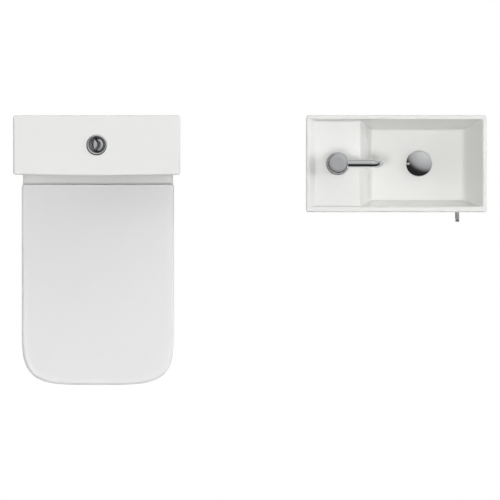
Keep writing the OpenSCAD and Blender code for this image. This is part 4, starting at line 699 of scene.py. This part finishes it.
# Basin
# One casting of the same glazed china: a raised rim all round, a tap deck a little below it at the left, and
# a bowl that the deck runs down into by a ramp. Every inner corner is a soft sweep of the glaze.
vanity_origin = np.array([329.5, 304.5, 0.0])
basin_half, basin_depth, basin_foot, basin_top = 203.0, 218.0, 730.0, 850.0
tap_deck, bowl_floor = 838.0, 755.0


def soft_max(a, b, width):
    """The larger of two heights, with the crease between them rounded: half of a + b + the root of (a - b)
    squared plus width squared."""
    return 0.5 * (a + b + np.sqrt((a - b) ** 2 + width ** 2))


def basin_height(x, y, edge):
    """Height of the basin's top at (x, y): the bowl's floor, ramp and deck, then the four inner walls, then
    the rim, and a rounded outer edge where the distance to the outside is small."""
    ramp_start, ramp_run, outer_round = -82.0, 24.0, 3.5
    rim_back, rim_front, rim_side = 9.0, 12.0, 9.0

    def slope_down(far, run, drop):
        """Falls from the rim by drop over run, with the distance far from the rim's inner edge."""
        return basin_top - far * drop / run

    ramp = tap_deck - (x - ramp_start) * (tap_deck - bowl_floor) / ramp_run
    base = soft_max(np.full_like(x, bowl_floor), -soft_max(np.full_like(x, -tap_deck), -ramp, 3.0), 7.0)
    depth = basin_top - bowl_floor
    back = slope_down(-rim_back - y, 22.0, depth)
    front = slope_down(y + (basin_depth - rim_front), 14.0, depth)
    right = slope_down((basin_half - rim_side) - x, 40.0, depth)
    left = slope_down(x + (basin_half - rim_side), 11.0, basin_top - tap_deck)
    inside = soft_max(soft_max(base, back, 6.0), front, 5.0)
    inside = soft_max(soft_max(inside, right, 7.0), left, 2.0)
    z = -soft_max(np.full_like(x, -basin_top), -inside, 2.0)
    near = np.clip(outer_round - edge, 0.0, outer_round)
    return np.minimum(z, basin_top) - (outer_round - np.sqrt(outer_round ** 2 - near ** 2))


def basin_rows():
    """From the middle of the underside out to the edge, up the outside, then inwards over the top."""
    low, last_inset = basin_foot, basin_depth / 2 - 1

    def outline(inset):
        """The basin's outline, moved inwards by inset."""
        half, corner = basin_half - inset, max(6 - inset, 0.5)
        return rounded_rectangle(-half, half, inset - basin_depth, -inset, corner, 190, 100)

    def closing(z):
        """The last outline, shut to a line along the middle."""
        line = outline(last_inset)
        line[:, 1] = -basin_depth / 2
        return at_level(line, z)

    rows = [closing(low)] + [at_level(outline(i), low) for i in (60.0, 20.0, 1.2)]
    rows += [at_level(outline(0.4), low + 0.3), at_level(outline(0.0), low + 1.2)]
    rows += [at_level(outline(0.0), z) for z in (760.0, 800.0, 840.0)]
    insets = [0.0, 0.15, 0.5, 1.0, 1.8, 2.7, 3.8, *np.arange(5.0, 36.0, 0.9), *np.arange(37.0, 108.0, 2.2)]
    for inset in insets + [last_inset]:
        points = outline(inset)
        height = basin_height(points[:, 0], points[:, 1], inset)
        rows.append(np.concatenate([points, height[:, None]], axis=1))
    middle = closing(0.0)
    middle[:, 2] = basin_height(middle[:, 0], middle[:, 1], basin_depth / 2)
    return rows + [middle]


basin = loft("basin_glazed", basin_rows(), vanity_origin, ceramic, "base")
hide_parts("basin", "basin_deck")


# Tap
# A single-hole mixer in polished chrome: a turned foot and body, a bent tube for a spout, and a bevelled knob
# on top that turns the cartridge. A stud, a clamp plate and a nut hold it under the deck.
tap_centre = vanity_origin + np.array([-132.0, -basin_depth / 2, 0.0])
foot_low, foot_radius, foot_edge = tap_deck + 1.5, 26.0, 0.6
tap_radius, tap_shoulder, knob_low, knob_top = 23.0, 931.0, 931.5, 949.0
cove = [(tap_radius + 1 - np.sin(a), foot_low + 5 - np.cos(a)) for a in np.radians(np.linspace(0, 90, 6))]
foot = ([(0.0, foot_low), (foot_radius - foot_edge, foot_low)]
        + quarter(foot_radius - foot_edge, foot_low + foot_edge, foot_edge, -90, 0, 4)
        + [(foot_radius, foot_low + 3.1)] + quarter(foot_radius - 0.9, foot_low + 3.1, 0.9, 0, 90, 6)
        + [(foot_radius - 1.8, foot_low + 4)])
barrel_top = ([(tap_radius, foot_low + 6.5), (tap_radius, tap_shoulder - 1.4)]
              + quarter(tap_radius - 0.8, tap_shoulder - 0.8, 0.8, 0, 90, 5)
              + [(tap_radius - 5, tap_shoulder), (0.0, tap_shoulder)])
tap_body = spun("tap_body_turned", foot + cove + barrel_top, tap_centre, chrome, "base")
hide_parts("tap_body")

knob_side = ([(0.0, knob_low), (tap_radius - 0.8, knob_low)]
             + quarter(tap_radius - 0.6, knob_low + 0.6, 0.6, -90, 0, 4) + [(tap_radius, knob_top - 3.4)])
# The top edge is bevelled, and both ends of the bevel are eased
knob_bevel = [(tap_radius - inset, knob_top - drop) for inset, drop in
              ((0.15, 2.75), (0.4, 2.4), (2.4, 0.4), (2.8, 0.12), (3.3, 0.0), (11.0, 0.0), (tap_radius, 0.0))]
knob = spun("tap_knob_turned", knob_side + knob_bevel, tap_centre, chrome, "tap_control")
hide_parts("tap_knob")


def swept(name, path, section, origin, material, body):
    """A closed section carried along a path that stays in one plane. At each point the section's first
    direction is the plane's normal, and its second is the cross product of the path's direction with that
    normal. Both ends are closed."""
    path, section = np.asarray(path, float), np.asarray(section, float)
    along = np.gradient(path, axis=0)
    along /= np.linalg.norm(along, axis=1, keepdims=True)
    normal = np.cross(path[0] - path[len(path) // 2], path[-1] - path[len(path) // 2])
    normal = np.broadcast_to(normal / np.linalg.norm(normal), path.shape)
    across = np.cross(along, normal)
    rows = path[:, None] + section[None, :, :1] * normal[:, None] + section[None, :, 1:] * across[:, None]
    first, last = np.broadcast_to(path[0], rows[0].shape), np.broadcast_to(path[-1], rows[0].shape)
    rim_first, rim_last = towards(rows[0], first, 0.12), towards(rows[-1], last, 0.12)
    return loft(name, [first, rim_first, *rows, rim_last, last], origin, material, body)


turn = np.linspace(0, 2 * np.pi, 48, endpoint=False)
spout_radius, spout_z, bend_x, bend_radius, mouth_z = 9.5, 898.0, 74.0, 19.0, 873.0
pipe_round = spout_radius * np.stack([np.cos(turn), np.sin(turn)], axis=1)
straight = [(x, 0.0, spout_z) for x in np.linspace(14.0, bend_x - 1, 12)]
bend = [(bend_x + bend_radius * np.cos(a), 0.0, spout_z - bend_radius + bend_radius * np.sin(a))
        for a in np.radians(np.linspace(90, 0, 24))]
drop = [(bend_x + bend_radius, 0.0, mouth_z + above) for above in (3.0, 0.3, 0.0)]
spout_path = straight + bend + drop
spout = swept("tap_spout_bent", spout_path, pipe_round, tap_centre, chrome, "base")
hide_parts("tap_spout")
paint(chrome, "tap_aerator")
paint(brass, "tap_cartridge", "tap_spindle", "tap_stud_and_nut")
paint(black_rubber, "tap_clamp")


# Waste and trap
# A domed, chromed plug that presses down on the chromed waste in the bowl's floor. Below it a white plastic
# bottle trap, with its nuts, takes the water back to the wall.
waste_centre = vanity_origin + np.array([51.0, -basin_depth / 2, 0.0])
plug_radius, plug_low, stem_radius, stem_low = 29.5, bowl_floor + 11.0, 4.0, 729.0
dome_radius, dome_low, dome_rise = plug_radius - 0.5, plug_low + 1.9, 5.4
# The dome is a cap of the sphere that has this rise over this radius
sphere = (dome_radius ** 2 + dome_rise ** 2) / (2 * dome_rise)
dome = [(r, dome_low + dome_rise - sphere + np.sqrt(sphere ** 2 - r ** 2))
        for r in np.linspace(dome_radius, 0.0, 22)]
plug_profile = ([(0.0, stem_low), (stem_radius - 0.4, stem_low), (stem_radius, stem_low + 0.4),
                 (stem_radius, plug_low), (plug_radius - 0.8, plug_low)]
                + quarter(plug_radius - 0.8, plug_low + 0.8, 0.8, -90, 0, 5)
                + [(plug_radius, plug_low + 1.2), (plug_radius - 0.2, plug_low + 1.6)])
plug = spun("waste_plug_domed", plug_profile + dome, waste_centre, chrome, "waste_plug")
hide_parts("waste_plug")
pvc = finish_of("white_pipe_plastic", (0.70, 0.70, 0.69), 0.30, tint=0.06, wear=0.5, grain=1100.0, bump=0.08)
paint(chrome, "waste_body")
paint(white_plastic, "waste_guide")
paint(black_rubber, "basin_seals")
paint(brass, "waste_backnut")
paint(pvc, "trap_bottle", "trap_cup", "trap_nuts", "trap_outlet_pipe")


# Cabinet, door and handle
# A carcass of white-faced board on plastic glides with one loose shelf, a gloss door on two butt hinges at
# the left, and a bar handle of square section screwed through the door.
board = finish_of("white_faced_board", (0.74, 0.74, 0.73), 0.42, tint=0.03, wear=0.5, grain=600.0, bump=0.12)
door_board = finish_of("gloss_faced_board", (0.79, 0.79, 0.79), 0.16, tint=0.015, wear=0.3, grain=160.0,
                       bump=0.05, coat=0.4)
paint(board, "cabinet_sides", "cabinet_panels", "cabinet_shelf")
paint(door_board, "door")
paint(white_plastic, "cabinet_glides")
paint(zinc_steel, "shelf_pins", "handle_screws", "door_hinges", "door_hinge_leaves")

brushed = finish_of("satin_chrome", (0.88, 0.885, 0.89), 0.30, tint=0.05, wear=0.5, grain=900.0,
                    bump=0.05, metallic=1.0)
bar_half, handle_x, handle_low, handle_high = 4.0, 139.0, 506.0, 666.0
door_face, reach, soft = -212.0, -236.0, 1.5
bar_square = superellipse(bar_half, bar_half, 7.0, turn)
quarter_turn = np.radians(np.linspace(0, 90, 10))
# Each corner is an arc of radius soft between a leg and the grip
nearest = reach + soft
lower = [(handle_x, nearest - soft * np.sin(a), handle_low + soft - soft * np.cos(a)) for a in quarter_turn]
upper = [(handle_x, nearest - soft * np.cos(a), handle_high - soft + soft * np.sin(a)) for a in quarter_turn]
legs = np.linspace(door_face, nearest, 5)[:-1]
lower_leg = [(handle_x, y, handle_low) for y in legs]
upper_leg = [(handle_x, y, handle_high) for y in legs[::-1]]
handle_path = lower_leg + lower + upper + upper_leg
handle = swept("door_handle_bar", handle_path, bar_square, vanity_origin, brushed, "door")
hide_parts("door_handle")
